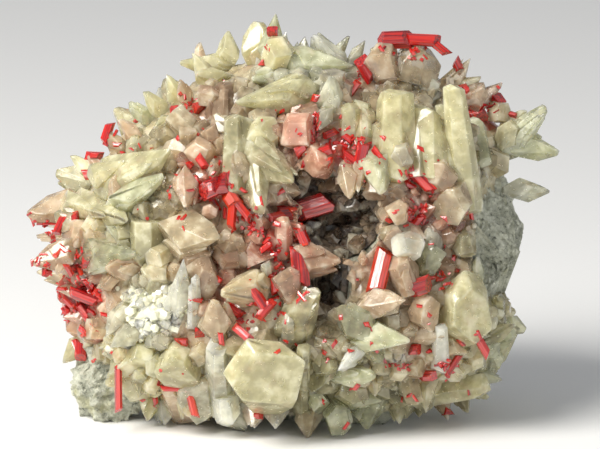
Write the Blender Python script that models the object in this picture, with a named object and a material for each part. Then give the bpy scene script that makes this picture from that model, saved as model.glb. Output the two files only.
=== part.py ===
"""A cabinet-size realgar specimen: red realgar prisms on a druse of calcite crystals, grown on host rock.

The front of the druse opens on a hollow lined with small dark crystals. The rock shows on the right, at the
lower left corner, on the back and underneath, where it was broken flat and stands on a table.

Sizes are in millimetres. Places on the front are given as the specimen is seen: x to the right and h up the
picture, along a line of sight that is pitched PITCH downwards. The depth of each place comes from the crust.
"""

import math
import random

import bmesh
import bpy
from mathutils import Euler, Matrix, Vector, noise
from mathutils.bvhtree import BVHTree

MM = 0.001
CALCITE_SEED, LINING_SEED, REALGAR_SEED = 7, 3, 5

# The line of sight, the picture's upward direction, and the height in the picture of the specimen's foot.
PITCH = math.radians(12)
SIGHT = Vector((0, math.cos(PITCH), -math.sin(PITCH)))
UP = Vector((0, math.sin(PITCH), math.cos(PITCH)))
FOOT_H = 5.0

# The crust's outline as it is seen, clockwise from the left, without the crystals that stand out from it.
OUTLINE = [
    (-49, 44), (-45, 53), (-36.5, 60), (-31, 67), (-20, 74), (-8, 79.5), (5, 79), (18, 79), (28, 77), (36, 73),
    (42, 67), (46.5, 60), (49.5, 51), (48, 41), (45.5, 32), (44.5, 21), (40, 10.5), (34, 6.5), (20, 5), (5, 3.8),
    (-10, 4.6), (-25, 4.6), (-36, 7.5), (-42, 14), (-44, 24), (-47, 33),
]
MIDDLE_X, MIDDLE_H = 0.0, 42.0
HALF_FRONT, HALF_BACK = 29.0, 31.0
SQUARENESS = 2.6
LUMP_DETAIL = 2
LUMP_WAVE, LUMP_HEIGHT = 19.0, 3.2
GRAIN_WAVE, GRAIN_HEIGHT = 8.0, 1.1

# The crust's thickness over the rock, how far bare rock stands out, and the gap between pieces that touch.
CRUST = 4.2
PROUD_ROCK = 2.0
GAP = 0.3
LOWEST_CRYSTAL = 0.4

# The hollow is these rounded chambers: x, h, half width, half height, half depth, and how far in its middle lies.
CHAMBERS = [
    (10.0, 45.0, 8.8, 8.2, 9.0, 3.0), (7.4, 33.5, 4.8, 7.5, 7.5, 4.0), (4.6, 51.2, 5.0, 4.6, 7.0, 3.0),
]
LINING = 1.5

# The exact solver leaves the crust open where hundreds of crystals cross, so these joins use the manifold one. Faces
# of the lining that turn by less than LEVEL are made one. Points closer than CLOSE are merged, unless a face beside
# them would get smaller than SMALLEST_FACE, in square metres, or would turn so far that its normals agree less than
# LEAST_AGREEMENT.
MANY = "MANIFOLD"
LEVEL = math.radians(0.5)
CLOSE = 0.2
SMALLEST_FACE, LEAST_AGREEMENT = 1e-10, 0.9

# Calcite crystals, each from its tip to its root: tip x, tip h, root x, root h, width, and how far the tip stands
# out from the crust behind it.
TEETH = {
    "crown": [
        (-5.8, 88.0, -7.0, 77.5, 6.0, 0), (-2.8, 87.0, -4.0, 78.0, 4.5, 2), (-12.5, 84.5, -12.5, 76.5, 4.6, 0),
        (-18.8, 83.4, -18.2, 75.0, 2.8, 0), (-23.6, 77.0, -13.5, 76.0, 4.5, 3), (-20.0, 74.6, -13.5, 73.6, 3.2, 5),
        (-8.6, 73.0, -3.2, 73.5, 3.4, 5), (-12.0, 68.3, 3.5, 70.0, 7.0, 6), (-15.5, 67.0, -12.0, 63.0, 3.6, 3),
        (-30.0, 72.0, -26.0, 67.0, 3.2, 1), (-25.0, 75.2, -22.5, 69.5, 3.2, 1), (-22.5, 74.0, -20.5, 69.0, 3.0, 3),
        (-33.0, 69.5, -29.0, 65.5, 3.2, 1), (4.0, 83.3, 9.6, 76.8, 3.8, 2), (12.4, 82.8, 8.8, 77.8, 2.4, 2),
        (15.2, 81.3, 12.5, 77.0, 2.6, 1), (3.0, 82.0, 2.6, 76.5, 4.0, 1), (12.8, 76.0, 0.5, 76.0, 7.0, 5),
        (36.4, 77.8, 32.5, 72.0, 4.2, 0), (40.0, 74.2, 35.5, 74.0, 3.4, 2), (43.6, 73.2, 39.0, 69.5, 3.4, 1),
    ],
    "shoulder": [
        (53.5, 70.3, 44.0, 60.0, 5.6, 2), (55.3, 58.4, 44.5, 60.5, 6.2, 3), (48.4, 68.3, 43.5, 63.5, 3.2, 0),
    ],
    "left": [
        (-48.8, 55.2, -41.0, 52.5, 6.2, 1), (-55.2, 45.4, -44.5, 47.8, 7.4, 4), (-22.5, 59.5, -36.5, 51.7, 9.0, 8),
        (-23.0, 55.0, -34.5, 48.2, 5.2, 6), (-31.3, 44.9, -42.5, 47.6, 7.6, 8), (-20.5, 46.7, -20.5, 54.0, 5.6, 7),
        (-12.2, 42.5, -23.5, 42.5, 8.6, 9), (-52.2, 36.2, -44.5, 38.0, 6.0, 2), (-46.8, 33.7, -46.0, 39.7, 3.6, 3),
        (-52.3, 34.7, -45.0, 33.8, 3.6, 0), (-29.8, 38.5, -39.5, 38.0, 6.2, 6), (-45.0, 59.0, -40.5, 54.5, 3.4, 0),
        (-41.5, 59.0, -37.5, 54.5, 3.2, 0), (-37.5, 63.7, -33.5, 58.5, 3.6, 0), (-35.0, 66.0, -30.5, 61.5, 3.2, 0),
        (-20.0, 79.7, -16.5, 73.5, 3.4, 0), (-45.9, 25.5, -41.0, 26.0, 3.2, 0), (-47.4, 31.3, -42.0, 30.8, 3.2, 0),
        (-38.5, 21.0, -38.5, 16.8, 4.2, 3),
    ],
    "middle": [
        (-5.5, 41.7, -7.0, 62.0, 6.4, 9), (1.3, 52.3, -7.5, 57.8, 7.2, 8), (11.0, 36.9, 2.2, 37.0, 6.0, 4),
        (11.8, 48.2, 11.8, 55.5, 4.6, 4), (18.5, 49.2, 17.0, 57.5, 6.2, 5), (6.6, 33.5, -0.5, 22.5, 7.4, 7),
        (-14.7, 30.5, -5.5, 31.8, 7.0, 7), (-21.0, 37.6, -22.0, 27.0, 5.4, 7), (-15.0, 30.5, -14.5, 22.5, 6.2, 6),
        (27.5, 44.0, 27.8, 39.0, 4.6, 4), (23.2, 29.3, 15.5, 28.8, 6.2, 7),
    ],
    "foot": [
        (46.2, 25.2, 38.5, 21.0, 4.2, 3), (36.2, 18.0, 31.0, 20.5, 3.2, 5), (8.6, 29.0, 15.5, 22.2, 7.2, 6),
        (24.7, 21.0, 14.0, 22.6, 5.8, 8), (9.0, 14.3, 13.8, 19.5, 3.4, 7), (18.5, 15.7, 16.0, 20.5, 4.2, 5),
        (19.1, 14.5, 9.5, 13.9, 4.8, 8), (18.7, 8.9, 10.5, 9.6, 4.4, 6), (15.3, 2.6, 15.3, 9.0, 6.2, 4),
        (3.5, 1.0, 3.8, 7.5, 5.2, 4), (23.0, 11.1, 31.5, 10.3, 4.8, 6), (41.6, 8.6, 36.0, 9.6, 3.2, 3),
        (43.4, 12.6, 38.5, 12.8, 4.2, 2), (36.5, 5.0, 36.5, 9.5, 4.2, 3), (-7.5, 3.4, -7.0, 8.0, 4.4, 4),
        (-3.0, 3.0, -3.0, 8.0, 4.6, 4), (-29.0, 3.9, -28.5, 9.0, 4.4, 3), (-25.3, 3.6, -25.0, 9.0, 4.8, 4),
        (-20.3, 5.0, -20.5, 10.0, 4.4, 4), (32.0, 4.4, 32.0, 9.0, 3.8, 3), (26.0, 5.2, 26.2, 9.5, 3.8, 3),
        (22.0, 4.0, 21.5, 8.5, 3.8, 3),
    ],
}

# Stouter calcite, with upright sides and a low three-sided cap, given in the same way.
BLOCKS = [
    (-2.5, 81.8, -2.5, 74.5, 6.0, 3), (-13.0, 73.0, -13.5, 65.0, 4.4, 2), (18.6, 80.6, 18.6, 72.5, 6.4, 2),
    (25.6, 80.6, 25.6, 71.5, 9.0, 2), (27.7, 72.6, 27.3, 71.2, 5.4, 7), (21.0, 71.8, 20.8, 57.5, 8.2, 6),
    (27.6, 68.2, 27.4, 56.5, 6.2, 4), (32.4, 72.4, 35.2, 49.5, 6.8, 7), (38.8, 70.8, 38.5, 69.8, 4.8, 5),
    (44.5, 65.0, 44.3, 59.5, 5.2, 3), (-17.5, 61.0, -17.8, 56.0, 6.2, 4), (-10.5, 66.5, -10.5, 53.5, 7.2, 4),
    (-5.5, 66.0, -5.5, 58.0, 5.8, 5), (1.5, 66.5, 1.2, 59.0, 6.8, 4), (-28.5, 45.5, -28.5, 35.5, 7.4, 2),
    (22.2, 60.0, 22.2, 55.0, 4.8, 5), (21.3, 47.3, 21.6, 46.2, 4.2, 5), (29.5, 57.0, 29.5, 50.5, 6.8, 3),
    (32.5, 52.5, 32.5, 44.5, 7.2, 4), (0.0, 36.0, 0.0, 28.0, 5.2, 4), (-1.3, 46.0, -1.3, 39.5, 3.8, 4),
    (-16.8, 37.5, -16.8, 29.0, 5.6, 3), (23.0, 40.8, 22.8, 39.6, 5.8, 6), (27.5, 40.5, 27.5, 34.0, 5.2, 3),
    (35.0, 42.5, 35.0, 37.5, 4.2, 3), (22.5, 38.5, 22.5, 30.5, 5.2, 4), (34.5, 34.5, 34.5, 20.0, 9.6, 6),
    (30.0, 24.5, 30.0, 16.5, 3.6, 4), (26.5, 30.0, 26.5, 24.0, 5.6, 4), (-6.0, 20.6, -5.2, 6.8, 11.0, 8),
    (-14.3, 20.5, -14.0, 9.5, 6.2, 4), (2.8, 20.8, 2.5, 7.5, 4.8, 5), (5.5, 9.4, 5.5, 8.6, 4.0, 5),
    (9.5, 1.4, 9.0, 9.5, 4.8, 4), (40.2, 12.2, 28.0, 10.6, 6.2, 5), (-12.5, 4.2, -12.5, 10.5, 5.2, 3),
    (-16.8, 13.5, -16.8, 6.5, 4.6, 3), (-29.0, 20.5, -29.0, 10.5, 7.2, 4), (-22.0, 20.5, -22.5, 11.5, 6.8, 4),
    (-23.5, 11.5, -23.5, 6.5, 4.6, 4), (42.6, 69.0, 40.8, 64.6, 4.4, 1),
]

# A single calcite crystal that stands on the bare rock at the right.
SPUR = (53.1, 51.0, 47.6, 51.6, 4.2, 3)

# Small calcite crystals fill the crust between the others: how many places are tried, their sizes, how far they
# keep from the others' tips, how much they lean, how deep their roots are, and how low a tip may be.
FILL_PLACES = 130
FILL_LENGTH = (5.5, 8.0)
FILL_WIDTH = (4.2, 6.4)
FILL_APART = 7.8
FILL_LEAN = 0.45
FILL_ROOT = 0.6
FILL_LOWEST = 3

# The hollow's own crystals: how many, how long, their width against that, how much they lean, and how deep their
# roots are.
LINING_PLACES = 11
LINING_CRYSTAL = (3.2, 5.0)
LINING_WIDTH = 0.75
LINING_LEAN = 0.5
LINING_ROOT = 0.5

# Realgar, one entry for each piece, as the prisms that it is made of: x and h at both ends, and width.
REALGAR = {
    "centre": [
        [(-1.0, 46.0, 9.4, 49.2, 4.4), (-4.8, 45.9, 2.6, 46.9, 3.8)],
        [(2.5, 31.0, 1.5, 40.9, 3.6), (1.2, 44.6, 4.6, 36.9, 2.0)],
    ],
    "right": [
        [(19.3, 40.2, 16.7, 29.6, 3.8)], [(21.6, 30.4, 28.9, 33.0, 3.8)], [(23.3, 56.0, 28.9, 50.3, 2.4)],
        [(23.2, 49.4, 24.6, 47.8, 1.5)], [(26.6, 46.4, 24.1, 43.4, 1.4)], [(32.0, 38.7, 32.0, 35.7, 2.4)],
        [(37.2, 22.0, 39.8, 17.6, 1.8)], [(34.0, 18.5, 31.1, 14.1, 1.2)],
    ],
    "crest": [
        [(17.0, 81.0, 25.8, 81.4, 3.8), (22.4, 81.3, 30.8, 80.9, 2.6), (28.0, 81.2, 31.9, 78.0, 1.8)],
        [(13.6, 78.4, 17.1, 72.0, 3.3)], [(13.9, 73.2, 11.7, 70.0, 1.5)], [(34.2, 72.7, 36.4, 69.8, 1.6)],
        [(36.0, 69.2, 39.3, 63.8, 3.6)], [(40.2, 68.2, 43.4, 70.6, 3.2)], [(32.9, 77.6, 34.4, 74.4, 1.8)],
        [(-3.5, 84.2, -3.5, 81.2, 2.4)], [(-8.4, 77.9, -6.0, 78.1, 1.3)], [(4.0, 69.5, 6.6, 69.1, 1.6)],
        [(-18.4, 69.4, -17.6, 65.8, 2.8)], [(-23.3, 68.3, -23.1, 65.7, 1.6)],
    ],
    "upper": [
        [(15.2, 62.3, 13.6, 54.0, 3.2), (10.0, 58.6, 14.4, 55.4, 2.0), (13.5, 57.0, 12.9, 51.4, 2.6)],
        [(5.4, 58.2, 8.8, 59.5, 2.0)], [(0.6, 57.7, 4.0, 60.8, 2.4)], [(6.5, 61.6, 9.5, 63.0, 1.4)],
        [(13.5, 65.7, 16.1, 65.5, 1.4)],
    ],
    "left": [
        [
            (-15.8, 52.2, -10.0, 52.8, 4.8), (-13.2, 55.6, -10.8, 51.2, 2.6), (-18.6, 50.0, -12.4, 52.8, 3.8),
            (-13.4, 52.2, -10.0, 47.0, 3.4), (-11.2, 50.4, -11.8, 43.0, 1.6), (-11.6, 50.0, -7.6, 45.0, 1.7),
        ],
        [(-18.6, 58.3, -16.4, 55.1, 1.7)], [(-36.0, 64.9, -37.6, 60.2, 1.7), (-37.7, 60.8, -34.0, 59.9, 1.3)],
        [(-41.4, 58.0, -37.4, 57.8, 1.7)], [(-42.2, 54.2, -37.9, 54.2, 2.3)], [(-43.3, 47.2, -43.3, 43.9, 1.9)],
        [(-45.1, 46.5, -47.1, 42.0, 1.6)], [(-48.6, 35.9, -48.6, 33.3, 2.2)], [(-40.2, 39.2, -40.2, 34.8, 2.6)],
        [(-44.7, 31.1, -37.9, 28.4, 2.3), (-39.7, 31.7, -37.2, 28.0, 1.6)], [(-42.2, 21.7, -42.2, 16.0, 2.5)],
        [(-40.8, 23.8, -37.8, 21.4, 1.6)],
    ],
    "foot": [
        [(-34.3, 16.4, -34.2, 6.5, 1.4)], [(-20.4, 11.7, -18.8, 5.5, 1.5), (-26.1, 11.5, -19.8, 11.4, 1.2)],
        [(-12.9, 28.5, -9.2, 25.9, 1.9)], [(-11.4, 24.4, -7.4, 21.0, 1.7)],
        [(-8.4, 33.1, -4.3, 26.7, 1.9), (-3.1, 29.4, -6.5, 25.4, 1.7)], [(-8.1, 6.2, -5.2, 6.2, 1.8)],
        [(23.0, 19.2, 26.5, 19.4, 2.3)], [(25.0, 14.0, 29.6, 14.0, 2.3)], [(30.4, 6.6, 33.0, 6.8, 1.8)],
        [(-18.0, 24.4, -18.0, 21.5, 2.0)], [(-22.8, 20.7, -19.9, 20.7, 1.6)],
    ],
}
# How deep a prism sits against its width, the width from which it has more sides, how much wider than the prism its
# seat is, the shares of its length at which the crust's depth is felt, and how far under a group that is felt too,
# and how far behind that the crust has to be for the group to lie on it.
REALGAR_DEEPER = 0.22
SEAT_BELOW, STEP_BACK = 0.8, 9.0
STOUT_REALGAR = 2.1
CORNER_REACH = 1.13
FELT_AT = (0.12, 0.3, 0.45, 0.6, 0.8)

# How far up a dogtooth crystal its belt lies, how many of those wider than SMALL_CALCITE have a blunt tip, and how
# much longer than wide a stout crystal is before it stands upright.
BELT = 0.3
BLUNT_SHARE = 0.4
SMALL_CALCITE = 4.5
LONG_BLOCK = 1.7

# The fractures where the specimen was broken off: azimuth and tilt of each face, and distance from the middle.
BREAKS = [
    (68, 8, 31.5), (111, 3, 32.0), (90, -30, 33.5), (94, 38, 33.5), (42, 0, 40.0), (141, 8, 40.0), (55, 44, 38.0),
    (128, 50, 37.0), (60, -50, 36.0),
]
BROKEN_WAVE, BROKEN_HEIGHT = 9.0, 2.2

MATERIALS = {
    "matrix": ((0.36, 0.38, 0.33), 0.85),
    "calcite": ((0.66, 0.66, 0.44), 0.25),
    "lining": ((0.10, 0.07, 0.05), 0.45),
    "realgar": ((0.62, 0.02, 0.015), 0.15),
}


def smooth(value):
    """0 to 1 with level ends."""
    value = min(1.0, max(0.0, value))
    return value * value * (3 - 2 * value)


def seen_at(point):
    """The x and h where a point of the specimen is seen."""
    return point.x, point.dot(UP) + FOOT_H


def sight_point(x, h, along=0.0):
    """The point that is seen at x and h, a distance along the line of sight."""
    return Vector((x, 0, 0)) + UP * (h - FOOT_H) + SIGHT * along


MIDDLE = sight_point(MIDDLE_X, MIDDLE_H)


def outline_reach(angle):
    """The crust's reach from its middle in the picture, at an angle from the x axis."""
    marks = sorted(
        (math.atan2(h - MIDDLE_H, x - MIDDLE_X), math.hypot(h - MIDDLE_H, x - MIDDLE_X)) for x, h in OUTLINE
    )
    marks = [(marks[-1][0] - math.tau, marks[-1][1])] + marks + [(marks[0][0] + math.tau, marks[0][1])]
    for (start, near), (end, far) in zip(marks, marks[1:]):
        if start <= angle <= end:
            return near + (far - near) * (angle - start) / (end - start)
    return marks[0][1]


def lump_point(direction, grow=0.0):
    """Where the crust's outside lies in a direction from its middle."""
    across = direction.x
    up = direction.dot(UP)
    deep = direction.dot(SIGHT)
    flat_reach = outline_reach(math.atan2(up, across))
    half_depth = HALF_BACK if deep > 0 else HALF_FRONT
    flat_part = (math.hypot(across, up) / flat_reach) ** SQUARENESS
    deep_part = (abs(deep) / half_depth) ** SQUARENESS
    reach = (flat_part + deep_part) ** (-1 / SQUARENESS)
    relief = smooth(2.2 * abs(deep))
    reach += relief * LUMP_HEIGHT * noise.noise(direction * reach / LUMP_WAVE + Vector((3.1, 0, 0)))
    reach += relief * GRAIN_HEIGHT * noise.noise(direction * reach / GRAIN_WAVE)
    return MIDDLE + direction * (reach + grow)


def bareness(point):
    """How free of crust the rock is there: 0 covered, 1 bare."""
    x, h = seen_at(point)
    right = smooth((x - 37) / 3) * smooth((61 - h) / 3) * smooth((h - 29) / 3)
    behind = smooth(((point - MIDDLE).dot(SIGHT) - 9) / 6)
    under = smooth((3 - point.z) / 2) * smooth((point.y + 24) / 5)
    corner = smooth(2.0 - math.hypot(x + 42, h - 8.5) / 5.5)
    return max(right, behind, under, corner)


def as_object(mesh, name):
    """An object made from a mesh in millimetres."""
    bmesh.ops.recalc_face_normals(mesh, faces=mesh.faces)
    bmesh.ops.scale(mesh, vec=(MM, MM, MM), verts=mesh.verts)
    data = bpy.data.meshes.new(name)
    mesh.to_mesh(data)
    mesh.free()
    made = bpy.data.objects.new(name, data)
    bpy.context.scene.collection.objects.link(made)
    return made


def lump(name, grow_at, floor=None):
    """A closed form that follows the crust's outside, grown by grow_at(point). With a floor it is cut off level
    there, and broken at the back."""
    form = bmesh.new()
    bmesh.ops.create_icosphere(form, subdivisions=LUMP_DETAIL, radius=1)
    for vertex in form.verts:
        direction = vertex.co.normalized()
        vertex.co = lump_point(direction, grow_at(lump_point(direction)))
    if floor is not None:
        cut_by_plane(form, Vector((0, 0, floor)), Vector((0, 0, -1)))
        for azimuth, tilt, distance in BREAKS:
            outward, distance = face_plane(azimuth, tilt, distance)
            cut_by_plane(form, MIDDLE + outward * distance, outward)
    return as_object(form, name)


def cut_by_plane(form, place, outward):
    """Takes off what lies outside a plane and closes the cut."""
    everything = form.verts[:] + form.edges[:] + form.faces[:]
    bmesh.ops.bisect_plane(form, geom=everything, plane_co=place, plane_no=outward, clear_outer=True, dist=1e-5)
    bmesh.ops.remove_doubles(form, verts=form.verts, dist=0.002)
    bmesh.ops.holes_fill(form, edges=[edge for edge in form.edges if edge.is_boundary])


def rock_grow(point):
    free = bareness(point)
    return -CRUST + (CRUST + PROUD_ROCK) * free + BROKEN_HEIGHT * free * noise.noise(point / BROKEN_WAVE)


def face_plane(azimuth, tilt, distance):
    """A crystal face as its outward direction and its distance. Its azimuth is in degrees, its tilt is upwards."""
    turn = math.radians(azimuth)
    lean = math.radians(tilt)
    outward = Vector((math.cos(turn) * math.cos(lean), math.sin(turn) * math.cos(lean), math.sin(lean)))
    return outward, distance


def tooth_faces(length, width, chance):
    """A dogtooth crystal: six steep faces that meet at the tip, and three that taper to the root from a belt."""
    belt = BELT * length
    faces = []
    for side, run, start, halves in ((1, length - belt, 0, (-22, 22)), (-1, 1.6 * belt + 2, 60, (0,))):
        for corner in (0, 120, 240):
            for half in halves:
                reach = 0.5 * width * chance.uniform(0.9, 1.08)
                tilt = math.degrees(math.atan2(reach, run))
                foot = reach * math.cos(math.radians(tilt))
                outward, distance = face_plane(start + corner + half, side * tilt, foot)
                faces.append((outward, distance + outward.z * belt))
    if chance.random() < BLUNT_SHARE and width > SMALL_CALCITE:
        cap = chance.uniform(0.84, 0.95) * length
        for corner in (30, 150, 270):
            faces.append(face_plane(corner, 58, cap * math.sin(math.radians(58))))
    return faces


def block_faces(length, width, chance):
    """A long stout crystal: six upright sides, a low cap of three faces, and a taper to the root."""
    faces = [face_plane(60 * turn, 3, 0.5 * width * chance.uniform(0.84, 1.02)) for turn in range(6)]
    for corner in (30, 150, 270):
        tilt = chance.uniform(50, 66)
        faces.append(face_plane(corner, tilt, length * math.sin(math.radians(tilt))))
        faces.append(face_plane(corner + 60, -60, 0.62 * width))
    return faces


def chunk_faces(length, width, chance):
    """A stout crystal seen askew: six sides, a cap of three faces and a flat root, about an egg as long and wide as
    asked."""
    egg = Vector((0.48 * width, 0.48 * width, 0.5 * length))
    turned = Euler([chance.uniform(0, math.tau) for _ in range(3)]).to_matrix()
    faces = []
    for azimuth, tilt in [(60 * turn, 0) for turn in range(6)] + [(30, 46), (150, 46), (270, 46), (0, -90)]:
        outward = turned @ face_plane(azimuth, tilt, 1)[0]
        support = math.hypot(outward.x * egg.x, outward.y * egg.y, outward.z * egg.z)
        faces.append((outward, outward.z * 0.5 * length + support * chance.uniform(0.84, 0.96)))
    return faces


def prism_faces(length, width, chance):
    """A realgar prism: upright sides about a flattened middle, more of them on a wide one, and slanting ends."""
    if width > STOUT_REALGAR:
        sides = ((0, 1.0), (48, 0.94), (90, 0.84), (134, 0.95), (184, 1.0), (232, 0.9), (305, 0.86))
    else:
        sides = ((8, 1.0), (66, 0.9), (118, 0.9), (180, 1.0), (270, 0.8))
    faces = [face_plane(azimuth, 0, 0.5 * width * share * chance.uniform(0.94, 1.0)) for azimuth, share in sides]
    for end in (1, -1):
        azimuth = chance.uniform(30, 150)
        steep = chance.uniform(46, 62)
        rise = 0.5 * length * math.sin(math.radians(steep))
        faces.append(face_plane(azimuth, end * steep, rise - 0.5 * width * math.cos(math.radians(steep))))
        if width > STOUT_REALGAR:
            faces.append(face_plane(azimuth + 170, end * steep, 0.96 * rise))
    return faces


def socket_faces(length, width):
    """The plain four-sided room that a realgar prism is seated in, which clears the prism's outermost corners."""
    sides = [face_plane(azimuth, 0, 0.5 * width * CORNER_REACH) for azimuth in (0, 90, 180, 270)]
    return sides + [face_plane(0, 90, 0.5 * length), face_plane(0, -90, 0.5 * length)]


def crystal_mesh(faces, reach, place, grow=0.0):
    """The convex crystal inside its faces, each moved outwards by grow, put in its place."""
    crystal = bmesh.new()
    bmesh.ops.create_cube(crystal, size=2 * reach)
    for outward, distance in faces:
        cut_by_plane(crystal, outward * (distance + grow), outward)
    bmesh.ops.transform(crystal, matrix=place, verts=crystal.verts)
    return crystal


def along_axis(origin, axis, facing, spin):
    """The placing matrix with z along axis and y as near to facing as can be, turned by spin about z."""
    upward = axis.normalized()
    side = facing.cross(upward).normalized()
    front = upward.cross(side)
    turned = Matrix((side, front, upward)).transposed().to_4x4()
    return Matrix.Translation(origin) @ turned @ Matrix.Rotation(spin, 4, "Z")


def depth_seen(tree, x, h):
    """How far along the line of sight the surface is met at x and h, or None."""
    start = sight_point(x, h, -200)
    hit = tree.ray_cast(start, SIGHT)
    return hit[3] - 200 if hit[0] is not None else None


def nearest_seen(tree, x, h):
    """The same x and h and the depth there, or the first place towards the middle where something is seen."""
    depth = depth_seen(tree, x, h)
    while depth is None:
        x += (MIDDLE_X - x) * 0.03
        h += (MIDDLE_H - h) * 0.03
        depth = depth_seen(tree, x, h)
    return x, h, depth


def tree_of(*objects):
    """A search tree over objects, in millimetres."""
    points, polygons = [], []
    for item in objects:
        first = len(points)
        points += [vertex.co / MM for vertex in item.data.vertices]
        polygons += [[first + index for index in polygon.vertices] for polygon in item.data.polygons]
    return BVHTree.FromPolygons(points, polygons)


def planted(tree, row):
    """The root and tip in space of a crystal that grows on the crust and is seen as its row says."""
    tip_x, tip_h, root_x, root_h, width, proud = row
    root_x, root_h, root_depth = nearest_seen(tree, root_x, root_h)
    tip_depth = depth_seen(tree, tip_x, tip_h)
    tip_depth = root_depth - proud if tip_depth is None else min(tip_depth, root_depth + 6) - proud
    return sight_point(root_x, root_h, root_depth + 0.12 * width), sight_point(tip_x, tip_h, tip_depth)


def faces_of_block(row):
    length = math.hypot(row[0] - row[2], row[1] - row[3])
    return block_faces if length > LONG_BLOCK * row[4] else chunk_faces


def calcite_crystal(root, tip, width, faces_of, chance, grow=0.0):
    axis = tip - root
    faces = faces_of(axis.length, width, chance)
    facing = -SIGHT if abs(axis.normalized().dot(SIGHT)) < 0.9 else UP
    place = along_axis(root, axis, facing, chance.uniform(0, math.tau))
    return crystal_mesh(faces, 1.6 * axis.length + width, place, grow)


def any_way(chance):
    """A random vector inside a cube of two by two by two."""
    return Vector((chance.uniform(-1, 1), chance.uniform(-1, 1), chance.uniform(-1, 1)))


def fill_rows(tree, taken, chance):
    """Roots, tips and widths of the small crystals between the others."""
    rows = []
    golden = math.pi * (3 - math.sqrt(5))
    for number in range(FILL_PLACES):
        height = 1 - 2 * (number + 0.5) / FILL_PLACES
        ring = math.sqrt(1 - height * height)
        turn = golden * number
        direction = Vector((ring * math.cos(turn), ring * math.sin(turn), height))
        hit, normal, _, _ = tree.ray_cast(MIDDLE, direction)
        length = chance.uniform(*FILL_LENGTH)
        width = chance.uniform(*FILL_WIDTH)
        sway = any_way(chance) * FILL_LEAN
        outward = normal if normal.dot(direction) > 0 else -normal
        tip = hit + (outward + sway).normalized() * length
        if bareness(hit) > 0.25 or tip.z < FILL_LOWEST or chamber_share(hit) > 0:
            continue
        if all((tip - other).length > FILL_APART for other in taken):
            rows.append((hit - outward * FILL_ROOT, tip, width))
            taken.append(tip)
    return rows


def chamber_share(point):
    """Above 0 where a point is seen inside the hollow's mouth."""
    x, h = seen_at(point)
    if point.y > 0:
        return 0
    return max(1 - math.hypot((x - c[0]) / c[2], (h - c[1]) / c[3]) for c in CHAMBERS)


def chambers(name, tree, shrink):
    """The hollow as one closed form, shrunk on all sides."""
    made = []
    for x, h, half_width, half_height, half_depth, inward in CHAMBERS:
        form = bmesh.new()
        bmesh.ops.create_icosphere(form, subdivisions=2, radius=1)
        halves = (half_width - shrink, half_depth - shrink, half_height - shrink)
        bmesh.ops.scale(form, vec=halves, verts=form.verts)
        for vertex in form.verts:
            vertex.co *= 1 + 0.14 * noise.noise(vertex.co / 5 + Vector((x, h, 0)))
        turned = Matrix((Vector((1, 0, 0)), SIGHT, UP)).transposed().to_4x4()
        place = Matrix.Translation(sight_point(x, h, depth_seen(tree, x, h) + inward)) @ turned
        bmesh.ops.transform(form, matrix=place, verts=form.verts)
        made.append(as_object(form, name))
    return join_solids(made[0], made[1:])


def boolean(target, operation, others, solver="EXACT"):
    """Joins others to target, or cuts them from it, and removes them."""
    tools = bpy.data.collections.new("tools")
    for other in others:
        tools.objects.link(other)
    modifier = target.modifiers.new("solid", "BOOLEAN")
    modifier.operation = operation
    modifier.operand_type = "COLLECTION"
    modifier.collection = tools
    modifier.solver = solver
    depsgraph = bpy.context.evaluated_depsgraph_get()
    result = bpy.data.meshes.new_from_object(target.evaluated_get(depsgraph))
    target.modifiers.clear()
    target.data = result
    for other in others:
        bpy.data.objects.remove(other)
    bpy.data.collections.remove(tools)
    return target


def join_solids(target, others, solver="EXACT"):
    return boolean(target, "UNION", others, solver) if others else target


def cut_solids(target, others, solver="EXACT"):
    return boolean(target, "DIFFERENCE", others, solver)


def below_table():
    """A slab that reaches up to the lowest place a crystal may have."""
    slab = bmesh.new()
    bmesh.ops.create_cube(slab, size=1)
    bmesh.ops.scale(slab, vec=(200, 200, 20), verts=slab.verts)
    bmesh.ops.translate(slab, vec=(0, 0, LOWEST_CRYSTAL - 10), verts=slab.verts)
    return as_object(slab, "below")


def copy_of(source):
    copied = source.copy()
    copied.data = source.data.copy()
    bpy.context.scene.collection.objects.link(copied)
    return copied


def bodies_of(mesh):
    """The separate bodies of a mesh, each as its faces."""
    waiting = set(mesh.faces)
    found = []
    while waiting:
        body = {waiting.pop()}
        edge_of_body = list(body)
        while edge_of_body:
            face = edge_of_body.pop()
            for edge in face.edges:
                for other in edge.link_faces:
                    if other in waiting:
                        waiting.remove(other)
                        body.add(other)
                        edge_of_body.append(other)
        found.append(body)
    return found


def stays_flat(start, end):
    """Whether no face of start turns over when start moves to end."""
    for face in start.link_faces:
        if end in face.verts:
            continue
        corners = [end.co if vertex is start else vertex.co for vertex in face.verts]
        turned = (corners[1] - corners[0]).cross(corners[2] - corners[0])
        if turned.length < SMALLEST_FACE or turned.normalized().dot(face.normal) < LEAST_AGREEMENT:
            return False
    return True


def join_close_points(mesh):
    """Merges the ends of short edges, where the solid stays closed."""
    mesh.normal_update()
    short = [edge for edge in mesh.edges if edge.calc_length() < CLOSE * MM]
    for edge in short:
        if not edge.is_valid:
            continue
        start, end = edge.verts
        near_start, near_end = ({side.other_vert(one) for side in one.link_edges} for one in (start, end))
        if len(near_start & near_end) == 2 and stays_flat(start, end):
            bmesh.ops.weld_verts(mesh, targetmap={start: end})
            mesh.normal_update()


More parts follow.
